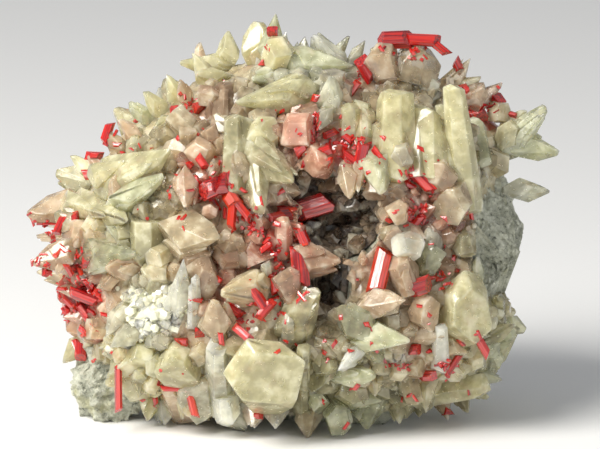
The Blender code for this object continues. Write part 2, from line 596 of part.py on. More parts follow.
def keep_main_body(item):
    """Leaves out the crumbs that the cuts broke off a solid, and clears up the small faces that they left."""
    mesh = bmesh.new()
    mesh.from_mesh(item.data)
    bodies = sorted(bodies_of(mesh), key=lambda body: sum(face.calc_area() for face in body))
    crumbs = [face for body in bodies[:-1] for face in body]
    if crumbs:
        print("crumbs left out of", item.name, len(bodies) - 1)
    bmesh.ops.delete(mesh, geom=crumbs, context="FACES")
    if item.name == "vug_crust":
        bmesh.ops.dissolve_limit(mesh, angle_limit=LEVEL, verts=mesh.verts, edges=mesh.edges)
    bmesh.ops.triangulate(mesh, faces=mesh.faces)
    join_close_points(mesh)
    mesh.to_mesh(item.data)
    mesh.free()
    return item


def material_of(kind):
    colour, roughness = MATERIALS[kind]
    material = bpy.data.materials.new(kind)
    material.use_nodes = True
    shader = material.node_tree.nodes["Principled BSDF"]
    shader.inputs["Base Color"].default_value = (*colour, 1)
    shader.inputs["Roughness"].default_value = roughness
    shader.inputs["Metallic"].default_value = 0
    material.diffuse_color = (*colour, 1)
    return material


def depth_felt(tree, x, h, width):
    """How deep a group lies at x and h: against what is behind it, or on what is below it if that is far in front."""
    behind = depth_seen(tree, x, h)
    below = depth_seen(tree, x, h - 0.5 * width - SEAT_BELOW)
    if below is not None and (behind is None or behind - below > STEP_BACK):
        return below + 0.5 * width
    return behind


def realgar_prisms(tree, rows, chance):
    """The faces, reach and place of each prism of a realgar piece that lies on the crust, and of its sockets."""
    prisms, sockets = [], []
    level = None
    for start_x, start_h, end_x, end_h, width in rows:
        ends = []
        for x, h, far_x, far_h in ((start_x, start_h, end_x, end_h), (end_x, end_h, start_x, start_h)):
            places = [(x + (far_x - x) * share, h + (far_h - h) * share) for share in FELT_AT]
            depths = [depth_felt(tree, *place, width) if len(rows) > 1 else depth_seen(tree, *place) for place in places]
            depths = [depth for depth in depths if depth is not None]
            ends.append(min(depths[:3]) if depths else nearest_seen(tree, x, h)[2])
        length = math.hypot(end_x - start_x, end_h - start_h)
        steepest = 0.6 * length
        nearest = min(ends)
        start_depth, end_depth = (min(depth, nearest + steepest) + REALGAR_DEEPER * width for depth in ends)
        if level is not None:
            start_depth = end_depth = level
        elif len(rows) > 1:
            start_depth = end_depth = level = (start_depth + end_depth) / 2
        start = sight_point(start_x, start_h, start_depth)
        end = sight_point(end_x, end_h, end_depth)
        axis = end - start
        place = along_axis((start + end) / 2, axis, -SIGHT, chance.uniform(-0.5, 0.5))
        prisms.append((prism_faces(axis.length, width, chance), axis.length + width, place))
        sockets.append((socket_faces(axis.length, width), axis.length + width, place, GAP))
    return prisms, sockets


def centre_over_origin(items):
    """Moves the pieces together until their box stands centred over the origin."""
    corners = [vertex.co for item in items for vertex in item.data.vertices]
    across = [corner.x for corner in corners]
    deep = [corner.y for corner in corners]
    move = Vector((-(min(across) + max(across)) / 2, -(min(deep) + max(deep)) / 2, 0))
    for item in items:
        item.data.transform(Matrix.Translation(move))
    print("moved by", move / MM)


def calcite_solids(ground, chance):
    """Every calcite crystal, and those near the hollow again, grown by the gap, to cut the lining they cross."""
    rows = [(row, tooth_faces) for region in TEETH.values() for row in region]
    rows += [(row, faces_of_block(row)) for row in BLOCKS]
    crystals, cutters, tips = [], [], []
    for row, faces_of in rows:
        root, tip = planted(ground, row)
        tips.append(tip)
        seed = chance.random()
        crystals.append(as_object(calcite_crystal(root, tip, row[4], faces_of, random.Random(seed)), "crystal"))
        if chamber_share(root) > -0.6 or chamber_share(tip) > -0.6:
            grown = calcite_crystal(root, tip, row[4], faces_of, random.Random(seed), GAP)
            cutters.append(as_object(grown, "cutter"))
    for root, tip, width in fill_rows(ground, tips, chance):
        crystals.append(as_object(calcite_crystal(root, tip, width, tooth_faces, chance), "crystal"))
    print("calcite crystals", len(crystals))
    return crystals, cutters


def hollow_lining(ground, cutters, chance):
    """The crust inside the hollow, with crystals that point into it."""
    lining = chambers("vug_crust", ground, GAP)
    inner = chambers("inner", ground, GAP + LINING)
    walls = tree_of(inner)
    x, h = CHAMBERS[0][:2]
    centre = sight_point(x, h, depth_seen(ground, x, h) + 2)
    lining = cut_solids(lining, [inner], MANY)
    buds = []
    for _ in range(LINING_PLACES):
        direction = Vector((chance.gauss(0, 1), chance.gauss(0.4, 1), chance.gauss(-0.3, 1))).normalized()
        hit, _, _, _ = walls.ray_cast(centre, direction)
        size = chance.uniform(*LINING_CRYSTAL)
        sway = any_way(chance) * LINING_LEAN
        tip = hit - (direction + sway).normalized() * size * 0.8
        root = hit + direction * LINING_ROOT
        buds.append(as_object(calcite_crystal(root, tip, LINING_WIDTH * size, tooth_faces, chance), "bud"))
    lining = join_solids(lining, buds, MANY)
    inside = lump("inside", lambda point: rock_grow(point) - GAP)
    room = boolean(chambers("room", ground, GAP), "INTERSECT", [inside], MANY)
    lining = boolean(lining, "INTERSECT", [room], MANY)
    return cut_solids(lining, cutters, MANY)


def seated_realgar(hosts, chance):
    """The realgar pieces, each seated in the calcite, the lining and the rock by sockets cut for its prisms."""
    surface = tree_of(*hosts)
    pieces = []
    seats = []
    for region, rows_of_region in REALGAR.items():
        for number, rows in enumerate(rows_of_region, 1):
            prisms, sockets = realgar_prisms(surface, rows, chance)
            solids = [as_object(crystal_mesh(*prism), "prism") for prism in prisms]
            seats += sockets
            piece = join_solids(solids[0], solids[1:])
            piece.name = f"realgar_{region}_{number}"
            pieces.append(piece)
    for host in hosts:
        cut_solids(host, [as_object(crystal_mesh(*seat), "seat") for seat in seats], MANY)
    return pieces


def finished(items):
    """Gives each solid its material and puts them all in the specimen's collection."""
    specimen = bpy.data.collections.new("realgar_specimen")
    bpy.context.scene.collection.children.link(specimen)
    kinds = {"matrix": "matrix", "calcite_druse": "calcite", "calcite_spur": "calcite", "vug_crust": "lining"}
    shared = {kind: material_of(kind) for kind in MATERIALS}
    for item in items:
        keep_main_body(item)
        item.data.materials.clear()
        item.data.materials.append(shared[kinds.get(item.name, "realgar")])
        bpy.context.scene.collection.objects.unlink(item)
        specimen.objects.link(item)
        print(item.name, len(item.data.polygons))
    centre_over_origin(specimen.objects)


def main():
    for item in list(bpy.data.objects):
        bpy.data.objects.remove(item)
    chance = random.Random(CALCITE_SEED)
    crust = lump("calcite_druse", lambda point: 0.0, LOWEST_CRYSTAL)
    ground = tree_of(crust)
    crystals, cutters = calcite_solids(ground, chance)

    # The rock, its hollow, and the room that it takes up inside the crust.
    rock = cut_solids(lump("matrix", rock_grow, 0.0), [chambers("hollow", ground, 0)])
    rock_room = lump("room", lambda point: rock_grow(point) + GAP)
    rock_room = cut_solids(rock_room, [chambers("less", ground, GAP)])

    # The crust with its crystals, and the crystal that stands on the bare rock.
    crust = cut_solids(crust, [chambers("hollow", ground, 0)], MANY)
    crust = join_solids(crust, crystals, MANY)
    root, tip = planted(ground, SPUR)
    seed = chance.random()
    spur, spur_room = (
        as_object(calcite_crystal(root, tip, SPUR[4], tooth_faces, random.Random(seed), grow), name)
        for name, grow in (("calcite_spur", 0.0), ("spur_room", GAP))
    )
    spur = cut_solids(spur, [copy_of(rock_room)])
    crust = cut_solids(crust, [rock_room, below_table(), spur_room], MANY)

    lining = hollow_lining(ground, cutters, random.Random(LINING_SEED))
    realgar = seated_realgar([crust, lining, rock], random.Random(REALGAR_SEED))
    finished([rock, crust, spur, lining, *realgar])


main()
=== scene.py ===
# %% [markdown]
# # A realgar specimen
# A loose piece of a vein, about 11 cm wide. Red realgar prisms lie on a crust of calcite crystals, which
# grew on grey host rock and left a dark hollow in the middle. Each crystal here is what is left of a block
# after a flat cut for each of its faces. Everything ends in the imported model's frame, in metres.

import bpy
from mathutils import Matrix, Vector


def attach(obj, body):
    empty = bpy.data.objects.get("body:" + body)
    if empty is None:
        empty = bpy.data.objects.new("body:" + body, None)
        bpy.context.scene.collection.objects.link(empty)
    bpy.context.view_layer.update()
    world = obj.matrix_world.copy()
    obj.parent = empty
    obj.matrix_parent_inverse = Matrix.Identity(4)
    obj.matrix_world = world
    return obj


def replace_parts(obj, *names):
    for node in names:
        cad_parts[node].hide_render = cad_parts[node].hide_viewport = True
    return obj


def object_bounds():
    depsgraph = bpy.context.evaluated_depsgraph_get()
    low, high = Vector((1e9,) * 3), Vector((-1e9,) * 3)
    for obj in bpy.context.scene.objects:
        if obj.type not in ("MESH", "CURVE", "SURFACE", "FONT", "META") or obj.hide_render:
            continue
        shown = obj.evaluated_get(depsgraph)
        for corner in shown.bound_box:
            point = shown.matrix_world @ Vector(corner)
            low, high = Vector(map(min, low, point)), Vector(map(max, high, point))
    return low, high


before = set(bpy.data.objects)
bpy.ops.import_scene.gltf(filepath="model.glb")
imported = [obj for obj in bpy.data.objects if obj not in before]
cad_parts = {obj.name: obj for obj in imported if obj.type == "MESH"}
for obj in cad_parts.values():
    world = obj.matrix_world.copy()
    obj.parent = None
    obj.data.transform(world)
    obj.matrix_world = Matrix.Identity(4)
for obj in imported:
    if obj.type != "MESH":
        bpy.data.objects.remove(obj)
cad_low, cad_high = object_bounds()
print("CAD box, mm:", [round(1000 * value, 2) for value in (*cad_low, *cad_high)])

# %% [markdown]
# ## Places on the front
# The crystals are placed as they are seen, in millimetres: x to the right and h up the picture, along a
# line of sight that looks down by 12 degrees. Two numbers from the picture and a ray along that line give a
# place on the crust. The model was centred over the origin by SHIFT when it was made, so new pieces are
# moved by it too.

# %% Units and directions
import math
import random

import bmesh
import bpy
from mathutils import Euler, Matrix, Vector, noise
from mathutils.bvhtree import BVHTree

MM = 0.001
PITCH = math.radians(12)
SIGHT = Vector((0, math.cos(PITCH), -math.sin(PITCH)))
UP = Vector((0, math.sin(PITCH), math.cos(PITCH)))
FOOT_H = 5.0
SHIFT = Vector((-0.5788, -4.8737, 0.0))


def sight_point(x, h, along=0.0):
    """The point in millimetres that is seen at x and h, a distance along the line of sight."""
    return Vector((x, 0, 0)) + UP * (h - FOOT_H) + SIGHT * along


def seen_at(point):
    """The x and h where a point is seen."""
    return point.x, point.dot(UP) + FOOT_H


MIDDLE_H = 42.0
MIDDLE = sight_point(0.0, MIDDLE_H)
print("middle of the specimen, mm:", tuple(round(value, 1) for value in MIDDLE))

# %% [markdown]
# ## Camera
# A small object that fills a photograph without bending is taken from far off through a long lens. The lens
# follows from the distance and from the width that the picture takes in at the specimen's middle.

# %% Camera
PICTURE_WIDTH = 121.3
PICTURE_CENTRE = (2.02, 44.2)
CAMERA_DISTANCE = 1500.0
SENSOR_WIDTH = 36.0

lens = bpy.data.cameras.new("long_lens")
lens.sensor_width = SENSOR_WIDTH
lens.lens = SENSOR_WIDTH * CAMERA_DISTANCE / PICTURE_WIDTH
camera = bpy.data.objects.new("camera", lens)
bpy.context.scene.collection.objects.link(camera)
camera.location = (sight_point(*PICTURE_CENTRE) + SHIFT - SIGHT * CAMERA_DISTANCE) * MM
camera.rotation_euler = SIGHT.to_track_quat("-Z", "Y").to_euler()
bpy.context.scene.camera = camera
print("lens, mm:", round(lens.lens))

# %% [markdown]
# ## Writing materials
# A material is a graph of nodes. To keep the recipes below readable, a number that changes over the surface
# is held in a small class that adds a Math node for each plus, minus or times. One method makes every other
# node.

# %% Helpers for materials
class Wire:
    """A socket that carries a number. Arithmetic on it adds Math nodes."""

    def __init__(self, finish, socket):
        self.finish = finish
        self.socket = socket

    def math(self, operation, first, second=0.0):
        made = self.finish.node("Math", {"operation": operation}, {0: first, 1: second})
        return Wire(self.finish, made.outputs[0])

    def __add__(self, other):
        return self.math("ADD", self, other)

    def __rsub__(self, other):
        return self.math("SUBTRACT", other, self)

    def __mul__(self, other):
        return self.math("MULTIPLY", self, other)

    __radd__ = __add__
    __rmul__ = __mul__


class Finish:
    """A material while its nodes are being added."""

    def __init__(self, name):
        self.material = bpy.data.materials.new(name)
        self.material.use_nodes = True
        self.tree = self.material.node_tree
        self.tree.nodes.clear()
        self.place = Wire(self, self.node("TexCoord", {}, {}).outputs["Object"])

    def node(self, kind, settings, inputs):
        """A node of a kind. Its settings come first, then a value or a wire for each of its sockets."""
        made = self.tree.nodes.new("ShaderNode" + kind)
        for name, value in settings.items():
            setattr(made, name, value)
        for name, value in inputs.items():
            if isinstance(value, Wire):
                self.tree.links.new(value.socket, made.inputs[name])
            else:
                made.inputs[name].default_value = value
        return made

    def noise(self, size, detail=3.0, roughness=0.6, place=None):
        """Cloudy noise from 0 to 1, with lumps of about a size in millimetres."""
        cloud = {"Vector": place or self.place, "Scale": 1 / (size * MM), "Detail": detail}
        return Wire(self, self.node("TexNoise", {}, {**cloud, "Roughness": roughness}).outputs["Fac"])

    def band(self, value, low, high):
        """0 below low, 1 above high, smooth between."""
        limits = {"Value": value, "From Min": low, "From Max": high}
        made = self.node("MapRange", {"interpolation_type": "SMOOTHSTEP"}, limits)
        return Wire(self, made.outputs["Result"])

    def mix(self, share, first, second):
        """Two colours mixed by a share."""
        colours = [colour if isinstance(colour, Wire) else (*colour, 1) for colour in (first, second)]
        inputs = {0: share, 6: colours[0], 7: colours[1]}
        return Wire(self, self.node("Mix", {"data_type": "RGBA"}, inputs).outputs[2])

    def carried(self, name, output):
        """What each face or corner carries under a name: its Color, its Fac or its Vector."""
        return Wire(self, self.node("Attribute", {"attribute_name": name}, {}).outputs[output])

    def bump(self, height, distance, strength=1.0):
        """The normal of a surface with a relief of a distance in millimetres."""
        made = self.node("Bump", {}, {"Height": height, "Distance": distance * MM, "Strength": strength})
        return Wire(self, made.outputs["Normal"])

    def done(self, inputs):
        """Finishes the material with a Principled shader."""
        shader = self.node("BsdfPrincipled", {"subsurface_method": "RANDOM_WALK"}, inputs)
        self.node("OutputMaterial", {}, {"Surface": Wire(self, shader.outputs[0])})
        return self.material

    def done_mixed(self, share, first, second):
        """Finishes the material with two Principled shaders, mixed by a share of the second."""
        shaders = [self.node("BsdfPrincipled", {}, inputs).outputs[0] for inputs in (first, second)]
        mixed = self.node("MixShader", {}, {0: share, 1: Wire(self, shaders[0]), 2: Wire(self, shaders[1])})
        self.node("OutputMaterial", {}, {"Surface": Wire(self, mixed.outputs[0])})
        return self.material


# %% [markdown]
# ## Floor and light
# The specimen stands on pale paper, lit by a wide soft lamp from the upper left, with a weak one at the
# right. The floor fades to grey at the right, where the lamp is far away. A plain grid is enough for it.

# %% Meshes and objects from a bmesh
def mesh_of(form, name):
    """A mesh with what a bmesh holds."""
    data = bpy.data.meshes.new(name)
    form.to_mesh(data)
    return data


def object_of(form, name):
    """An object in the scene with what a bmesh holds. The bmesh is freed."""
    made = bpy.data.objects.new(name, mesh_of(form, name))
    form.free()
    bpy.context.scene.collection.objects.link(made)
    return made


# %% Floor
FLOOR_HALF = 3.0


def pale_paper():
    paper = Finish("pale_paper")
    grain = paper.noise(0.8)
    colour = paper.mix(grain, (0.86, 0.86, 0.86), (0.90, 0.90, 0.90))
    return paper.done({"Base Color": colour, "Roughness": 0.75})


sheet = bmesh.new()
bmesh.ops.create_grid(sheet, x_segments=2, y_segments=2, size=FLOOR_HALF)
floor = object_of(sheet, "floor")
floor.data.materials.append(pale_paper())
print("floor, m:", floor.dimensions[:])

# %% Lamps
LIT_POINT = Vector((0, 0, 0.04))


def soft_lamp(name, place, size, power, colour):
    """A square lamp at a place in metres that faces the specimen."""
    lamp = bpy.data.lights.new(name, "AREA")
    lamp.size = size
    lamp.energy = power
    lamp.color = colour
    stand = bpy.data.objects.new(name, lamp)
    bpy.context.scene.collection.objects.link(stand)
    stand.location = place
    stand.rotation_euler = (LIT_POINT - Vector(place)).to_track_quat("-Z", "Y").to_euler()


soft_lamp("key_lamp", (-0.42, -0.36, 0.55), 0.42, 8.6, (1.0, 0.975, 0.915))
soft_lamp("fill_lamp", (0.55, -0.60, 0.25), 0.50, 0.9, (0.97, 0.98, 1.0))
surround = bpy.data.worlds.new("studio")
surround.use_nodes = True
background = surround.node_tree.nodes["Background"].inputs
background["Color"].default_value = (0.95, 0.97, 1.0, 1)
background["Strength"].default_value = 0.35
bpy.context.scene.world = surround
bpy.context.scene.view_settings.view_transform = "Standard"

# %% [markdown]
# ## The crust's ground
# The calcite grew as a crust over the rock. Its ground is a rounded lump that follows the outline in the
# picture, cut off level at the table and along the flat breaks at the back. A sphere whose points are moved
# out to the outline gives it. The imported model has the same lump, so crystals planted on it stand as the
# model's do.

# %% The crust's outline and lumps
OUTLINE = [
    (-49, 44), (-45, 53), (-36.5, 60), (-31, 67), (-20, 74), (-8, 79.5), (5, 79), (18, 79), (28, 77),
    (36, 73), (42, 67), (46.5, 60), (49.5, 51), (48, 41), (45.5, 32), (44.5, 21), (40, 10.5), (34, 6.5),
    (20, 5), (5, 3.8), (-10, 4.6), (-25, 4.6), (-36, 7.5), (-42, 14), (-44, 24), (-47, 33),
]
HALF_FRONT, HALF_BACK = 29.0, 31.0
SQUARENESS = 2.6
LUMP_WAVE, LUMP_HEIGHT = 19.0, 3.2
GRAIN_WAVE, GRAIN_HEIGHT = 8.0, 1.1
LOWEST_CRYSTAL = 0.4
BREAKS = [
    (68, 8, 31.5), (111, 3, 32.0), (90, -30, 33.5), (94, 38, 33.5), (42, 0, 40.0), (141, 8, 40.0),
    (55, 44, 38.0), (128, 50, 37.0), (60, -50, 36.0),
]


def smooth(value):
    """0 to 1 with level ends."""
    value = min(1.0, max(0.0, value))
    return value * value * (3 - 2 * value)


def outline_reach(angle):
    """The crust's reach from its middle in the picture, at an angle from the x axis."""
    marks = sorted((math.atan2(h - MIDDLE_H, x), math.hypot(h - MIDDLE_H, x)) for x, h in OUTLINE)
    marks = [(marks[-1][0] - math.tau, marks[-1][1])] + marks + [(marks[0][0] + math.tau, marks[0][1])]
    for (start, near), (end, far) in zip(marks, marks[1:]):
        if start <= angle <= end:
            return near + (far - near) * (angle - start) / (end - start)
    return marks[0][1]


def lump_point(direction):
    """Where the crust's outside lies in a direction from its middle."""
    up = direction.dot(UP)
    deep = direction.dot(SIGHT)
    half_depth = HALF_BACK if deep > 0 else HALF_FRONT
    flat_part = (math.hypot(direction.x, up) / outline_reach(math.atan2(up, direction.x))) ** SQUARENESS
    reach = (flat_part + (abs(deep) / half_depth) ** SQUARENESS) ** (-1 / SQUARENESS)
    relief = smooth(2.2 * abs(deep))
    reach += relief * LUMP_HEIGHT * noise.noise(direction * reach / LUMP_WAVE + Vector((3.1, 0, 0)))
    reach += relief * GRAIN_HEIGHT * noise.noise(direction * reach / GRAIN_WAVE)
    return MIDDLE + direction * reach


# %% Flat cuts
def face_plane(azimuth, tilt, distance):
    """A flat face as its outward direction and its distance. Azimuth and upward tilt are in degrees."""
    turn = math.radians(azimuth)
    lean = math.radians(tilt)
    outward = Vector((math.cos(turn) * math.cos(lean), math.sin(turn) * math.cos(lean), math.sin(lean)))
    return outward, distance


def everything_in(form):
    """All that a bmesh holds, for a cut."""
    return form.verts[:] + form.edges[:] + form.faces[:]


def cut_by_plane(form, place, outward):
    """Takes off what lies outside a plane and closes the cut."""
    plane = {"plane_co": place, "plane_no": outward}
    bmesh.ops.bisect_plane(form, geom=everything_in(form), clear_outer=True, dist=1e-5, **plane)
    bmesh.ops.remove_doubles(form, verts=form.verts, dist=0.002)
    bmesh.ops.holes_fill(form, edges=[edge for edge in form.edges if edge.is_boundary])


def crust_lump():
    """The crust's lump in millimetres."""
    form = bmesh.new()
    bmesh.ops.create_icosphere(form, subdivisions=2, radius=1)
    for vertex in form.verts:
        vertex.co = lump_point(vertex.co.normalized())
    cut_by_plane(form, Vector((0, 0, LOWEST_CRYSTAL)), Vector((0, 0, -1)))
    for azimuth, tilt, distance in BREAKS:
        outward, distance = face_plane(azimuth, tilt, distance)
        cut_by_plane(form, MIDDLE + outward * distance, outward)
    bmesh.ops.recalc_face_normals(form, faces=form.faces)
    return form


lump = crust_lump()
ground = BVHTree.FromBMesh(lump)
print("faces of the lump:", len(lump.faces))

# %% Rays along the line of sight
RAY_START = -200
STEP_INWARD = 0.03


def depth_seen(tree, x, h):
    """How far along the line of sight the surface is met at x and h, or None."""
    hit = tree.ray_cast(sight_point(x, h, RAY_START), SIGHT)
    return hit[3] + RAY_START if hit[0] is not None else None


def nearest_seen(tree, x, h):
    """The same x and h and the depth there, or the first place towards the middle where something is seen."""
    depth = depth_seen(tree, x, h)
    while depth is None:
        x -= x * STEP_INWARD
        h += (MIDDLE_H - h) * STEP_INWARD
        depth = depth_seen(tree, x, h)
    return x, h, depth


print("ground in front of the middle, mm:", round(depth_seen(ground, 0, MIDDLE_H), 1))

# %% [markdown]
# ## The shapes of calcite
# Calcite grows here in two habits. Dogtooth crystals are long, with six steep faces in three pairs that
# meet at a tip. Stout ones have upright sides under a low cap of three faces. A convex body is the room
# inside a set of planes, so each is cut from a block, one flat cut for each face. A library of fixed shapes
# would be quicker, but no two crystals of a real crust are alike.

# %% Dogtooth and stout faces
BELT = 0.3
BLUNT_SHARE = 0.4
SMALL_CALCITE = 4.5
LONG_BLOCK = 1.7
CAP_CORNERS = (30, 150, 270)


def cap_face(corner, tilt, height):
    """A face of a low cap that comes to its tip at a height."""
    return face_plane(corner, tilt, height * math.sin(math.radians(tilt)))


def tooth_faces(length, width, chance):
    """A dogtooth crystal: six steep faces from a belt to the tip, and three that taper to the root."""
    belt = BELT * length
    faces = []
    for side, run, start, halves in ((1, length - belt, 0, (-22, 22)), (-1, 1.6 * belt + 2, 60, (0,))):
        for corner in (0, 120, 240):
            for half in halves:
                reach = 0.5 * width * chance.uniform(0.9, 1.08)
                tilt = math.atan2(reach, run)
                azimuth = start + corner + half
                outward, distance = face_plane(azimuth, side * math.degrees(tilt), reach * math.cos(tilt))
                faces.append((outward, distance + outward.z * belt))
    if chance.random() < BLUNT_SHARE and width > SMALL_CALCITE:
        height = chance.uniform(0.84, 0.95) * length
        faces += [cap_face(corner, 58, height) for corner in CAP_CORNERS]
    return faces


def block_faces(length, width, chance):
    """A long stout crystal: six upright sides, a low cap of three faces, and a taper to the root."""
    faces = [face_plane(60 * turn, 3, 0.5 * width * chance.uniform(0.84, 1.02)) for turn in range(6)]
    for corner in CAP_CORNERS:
        faces.append(cap_face(corner, chance.uniform(50, 66), length))
        faces.append(face_plane(corner + 60, -60, 0.62 * width))
    return faces


def chunk_faces(length, width, chance):
    """A stout crystal seen askew: six sides, a cap of three faces and a flat root."""
    egg = Vector((0.48 * width, 0.48 * width, 0.5 * length))
    turned = Euler([chance.uniform(0, math.tau) for _ in range(3)]).to_matrix()
    faces = []
    directions = [(60 * turn, 0) for turn in range(6)] + [(corner, 46) for corner in CAP_CORNERS] + [(0, -90)]
    for azimuth, tilt in directions:
        outward = turned @ face_plane(azimuth, tilt, 1)[0]
        support = math.hypot(outward.x * egg.x, outward.y * egg.y, outward.z * egg.z)
        faces.append((outward, outward.z * 0.5 * length + support * chance.uniform(0.84, 0.96)))
    return faces


# %% Crystals from their faces
def crystal_form(faces, reach):
    """The convex crystal inside its faces, standing on the origin with its tip up."""
    crystal = bmesh.new()
    bmesh.ops.create_cube(crystal, size=2 * reach)
    for outward, distance in faces:
        cut_by_plane(crystal, outward * distance, outward)
    return crystal


def along_axis(origin, axis, facing, spin):
    """The placing matrix with z along axis, and y as near to facing as can be before the spin about z."""
    upward = axis.normalized()
    side = facing.cross(upward).normalized()
    turned = Matrix((side, upward.cross(side), upward)).transposed().to_4x4()
    return Matrix.Translation(origin) @ turned @ Matrix.Rotation(spin, 4, "Z")


def planted(tree, row):
    """The root and tip in space of a crystal that grows on the crust and is seen as its row says."""
    tip_x, tip_h, root_x, root_h, width, proud = row[:6]
    root_x, root_h, root_depth = nearest_seen(tree, root_x, root_h)
    tip_depth = depth_seen(tree, tip_x, tip_h)
    tip_depth = root_depth - proud if tip_depth is None else min(tip_depth, root_depth + 6) - proud
    return sight_point(root_x, root_h, root_depth + 0.12 * width), sight_point(tip_x, tip_h, tip_depth)


def calcite_form(root, tip, width, faces_of, chance):
    """One calcite crystal in its place."""
    axis = tip - root
    crystal = crystal_form(faces_of(axis.length, width, chance), 1.6 * axis.length + width)
    facing = -SIGHT if abs(axis.normalized().dot(SIGHT)) < 0.9 else UP
    place = along_axis(root, axis, facing, chance.uniform(0, math.tau))
    bmesh.ops.transform(crystal, matrix=place, verts=crystal.verts)
    return crystal


# %% [markdown]
# ## Dressing a crystal
# Crystals that crowd each other have small flat chips at their corners, worn edges that catch the light,
# and on some wide faces a rim that outgrew the middle. Flat cuts make the chips, a narrow bevel makes the
# edges, and an inset that sinks the middle of a face a little makes the rim. A noise texture would show
# none of it in outline.

# %% Chips, rims and worn edges
CHIPS = 10
WORN = 0.032
SHARP_EDGE = 0.14
RIM_SHARE = 0.15
WIDE_FACE = 0.10
SUNK = 0.006


def any_way(chance):
    """A vector in a random direction, about as long as 1."""
    return Vector((chance.gauss(0, 1), chance.gauss(0, 1), chance.gauss(0, 1)))


def chip(crystal, chance):
    """Small flat cuts that take corners and edges off at random."""
    middle = sum((vertex.co for vertex in crystal.verts), Vector()) / len(crystal.verts)
    for _ in range(CHIPS):
        direction = any_way(chance).normalized()
        support = max((vertex.co - middle).dot(direction) for vertex in crystal.verts)
        cut_by_plane(crystal, middle + direction * support * chance.uniform(0.82, 0.97), direction)


def closed(crystal):
    """Whether every edge joins two faces, which growing together asks for."""
    cornered = all(len(vertex.link_edges) > 2 for vertex in crystal.verts)
    return cornered and all(edge.is_manifold for edge in crystal.edges)


def unless_open(crystal, change):
    """Makes a change on a copy and keeps the copy if it is still closed, or else the crystal as it was."""
    changed = crystal.copy()
    change(changed)
    keep, drop = (changed, crystal) if closed(changed) else (crystal, changed)
    drop.free()
    return keep


def dressed(crystal, width, chance):
    """Chips, then a narrow bevel on every edge, then rims on some wide faces."""

    def chipped(form):
        chip(form, chance)
        bmesh.ops.remove_doubles(form, verts=form.verts, dist=0.03 * width)

    def worn(form):
        bmesh.ops.recalc_face_normals(form, faces=form.faces)
        edges = [edge for edge in form.edges if edge.calc_face_angle() > SHARP_EDGE]
        bevelled = {"affect": "EDGES", "segments": 2, "profile": 0.5, "material": -1, "clamp_overlap": True}
        bmesh.ops.bevel(form, geom=edges, offset=WORN * width, offset_type="OFFSET", **bevelled)

    crystal = unless_open(unless_open(crystal, chipped), worn)
    for face in crystal.faces[:]:
        room = 2 * face.calc_area() / max(face.calc_perimeter(), 0.001)
        if room > WIDE_FACE * width and chance.random() < RIM_SHARE:
            rim = chance.uniform(0.18, 0.34) * room
            bmesh.ops.inset_individual(crystal, faces=[face], thickness=rim, depth=-SUNK * width)
    return crystal


# %% Side growths
def side_growths(crystal, root, tip, width, count, chance):
    """Smaller copies of a crystal, grown parallel to it out of its sides."""
    axis = tip - root
    upright = along_axis(root, axis, UP if abs(axis.normalized().dot(UP)) < 0.9 else SIGHT, 0)
    for _ in range(count):
        turn = chance.uniform(0, math.tau)
        aside = Vector((math.cos(turn), math.sin(turn), 0)) * width * chance.uniform(0.18, 0.42)
        thick = chance.uniform(0.4, 0.7)
        sized = Matrix.Diagonal((thick, thick, chance.uniform(0.5, 0.9), 1))
        growth = crystal.copy()
        place = upright @ Matrix.Translation(aside) @ sized @ upright.inverted()
        bmesh.ops.transform(growth, matrix=place, verts=growth.verts)
        yield growth


# %% [markdown]
# ## Where realgar is
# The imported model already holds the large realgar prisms. Their places are needed before the calcite grows,
# because nothing small may stand in front of a prism, and calcite that lies against realgar looks pink. A
# search tree over the prisms' faces answers both questions quickly.

# %% Search tree over the realgar prisms
def node_form(name):
    """A merged copy of a CAD node in millimetres, in the picture's frame."""
    form = bmesh.new()
    form.from_mesh(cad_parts[name].data)
    bmesh.ops.remove_doubles(form, verts=form.verts, dist=1e-7)
    bmesh.ops.scale(form, vec=(1 / MM, 1 / MM, 1 / MM), verts=form.verts)
    bmesh.ops.translate(form, vec=-SHIFT, verts=form.verts)
    return form


def merged_tree(meshes):
    """One search tree over several meshes."""
    merged = bmesh.new()
    for data in meshes:
        merged.from_mesh(data)
    tree = BVHTree.FromBMesh(merged)
    merged.free()
    return tree


red_names = [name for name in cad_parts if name.startswith("realgar")]
red_tree = merged_tree([mesh_of(node_form(name), name + "_copy") for name in red_names])
print("realgar nodes:", len(red_names))

# %% What stands in front of a prism
FRONT_ROOM = 4
BACK_ROOM = 5
SIDE_ROOM = 0.5


def hides_realgar(point, radius):
    """Whether something of a radius at a point would stand in front of a realgar crystal, or touch one."""
    for across, up in ((0, 0), (radius, 0), (-radius, 0), (0, radius), (0, -radius)):
        hit = red_tree.ray_cast(point + Vector((across, 0, 0)) + UP * up - SIGHT * FRONT_ROOM, SIGHT)
        if hit[0] is not None and hit[3] < FRONT_ROOM + BACK_ROOM:
            return True
    return red_tree.find_nearest(point)[3] < SIDE_ROOM
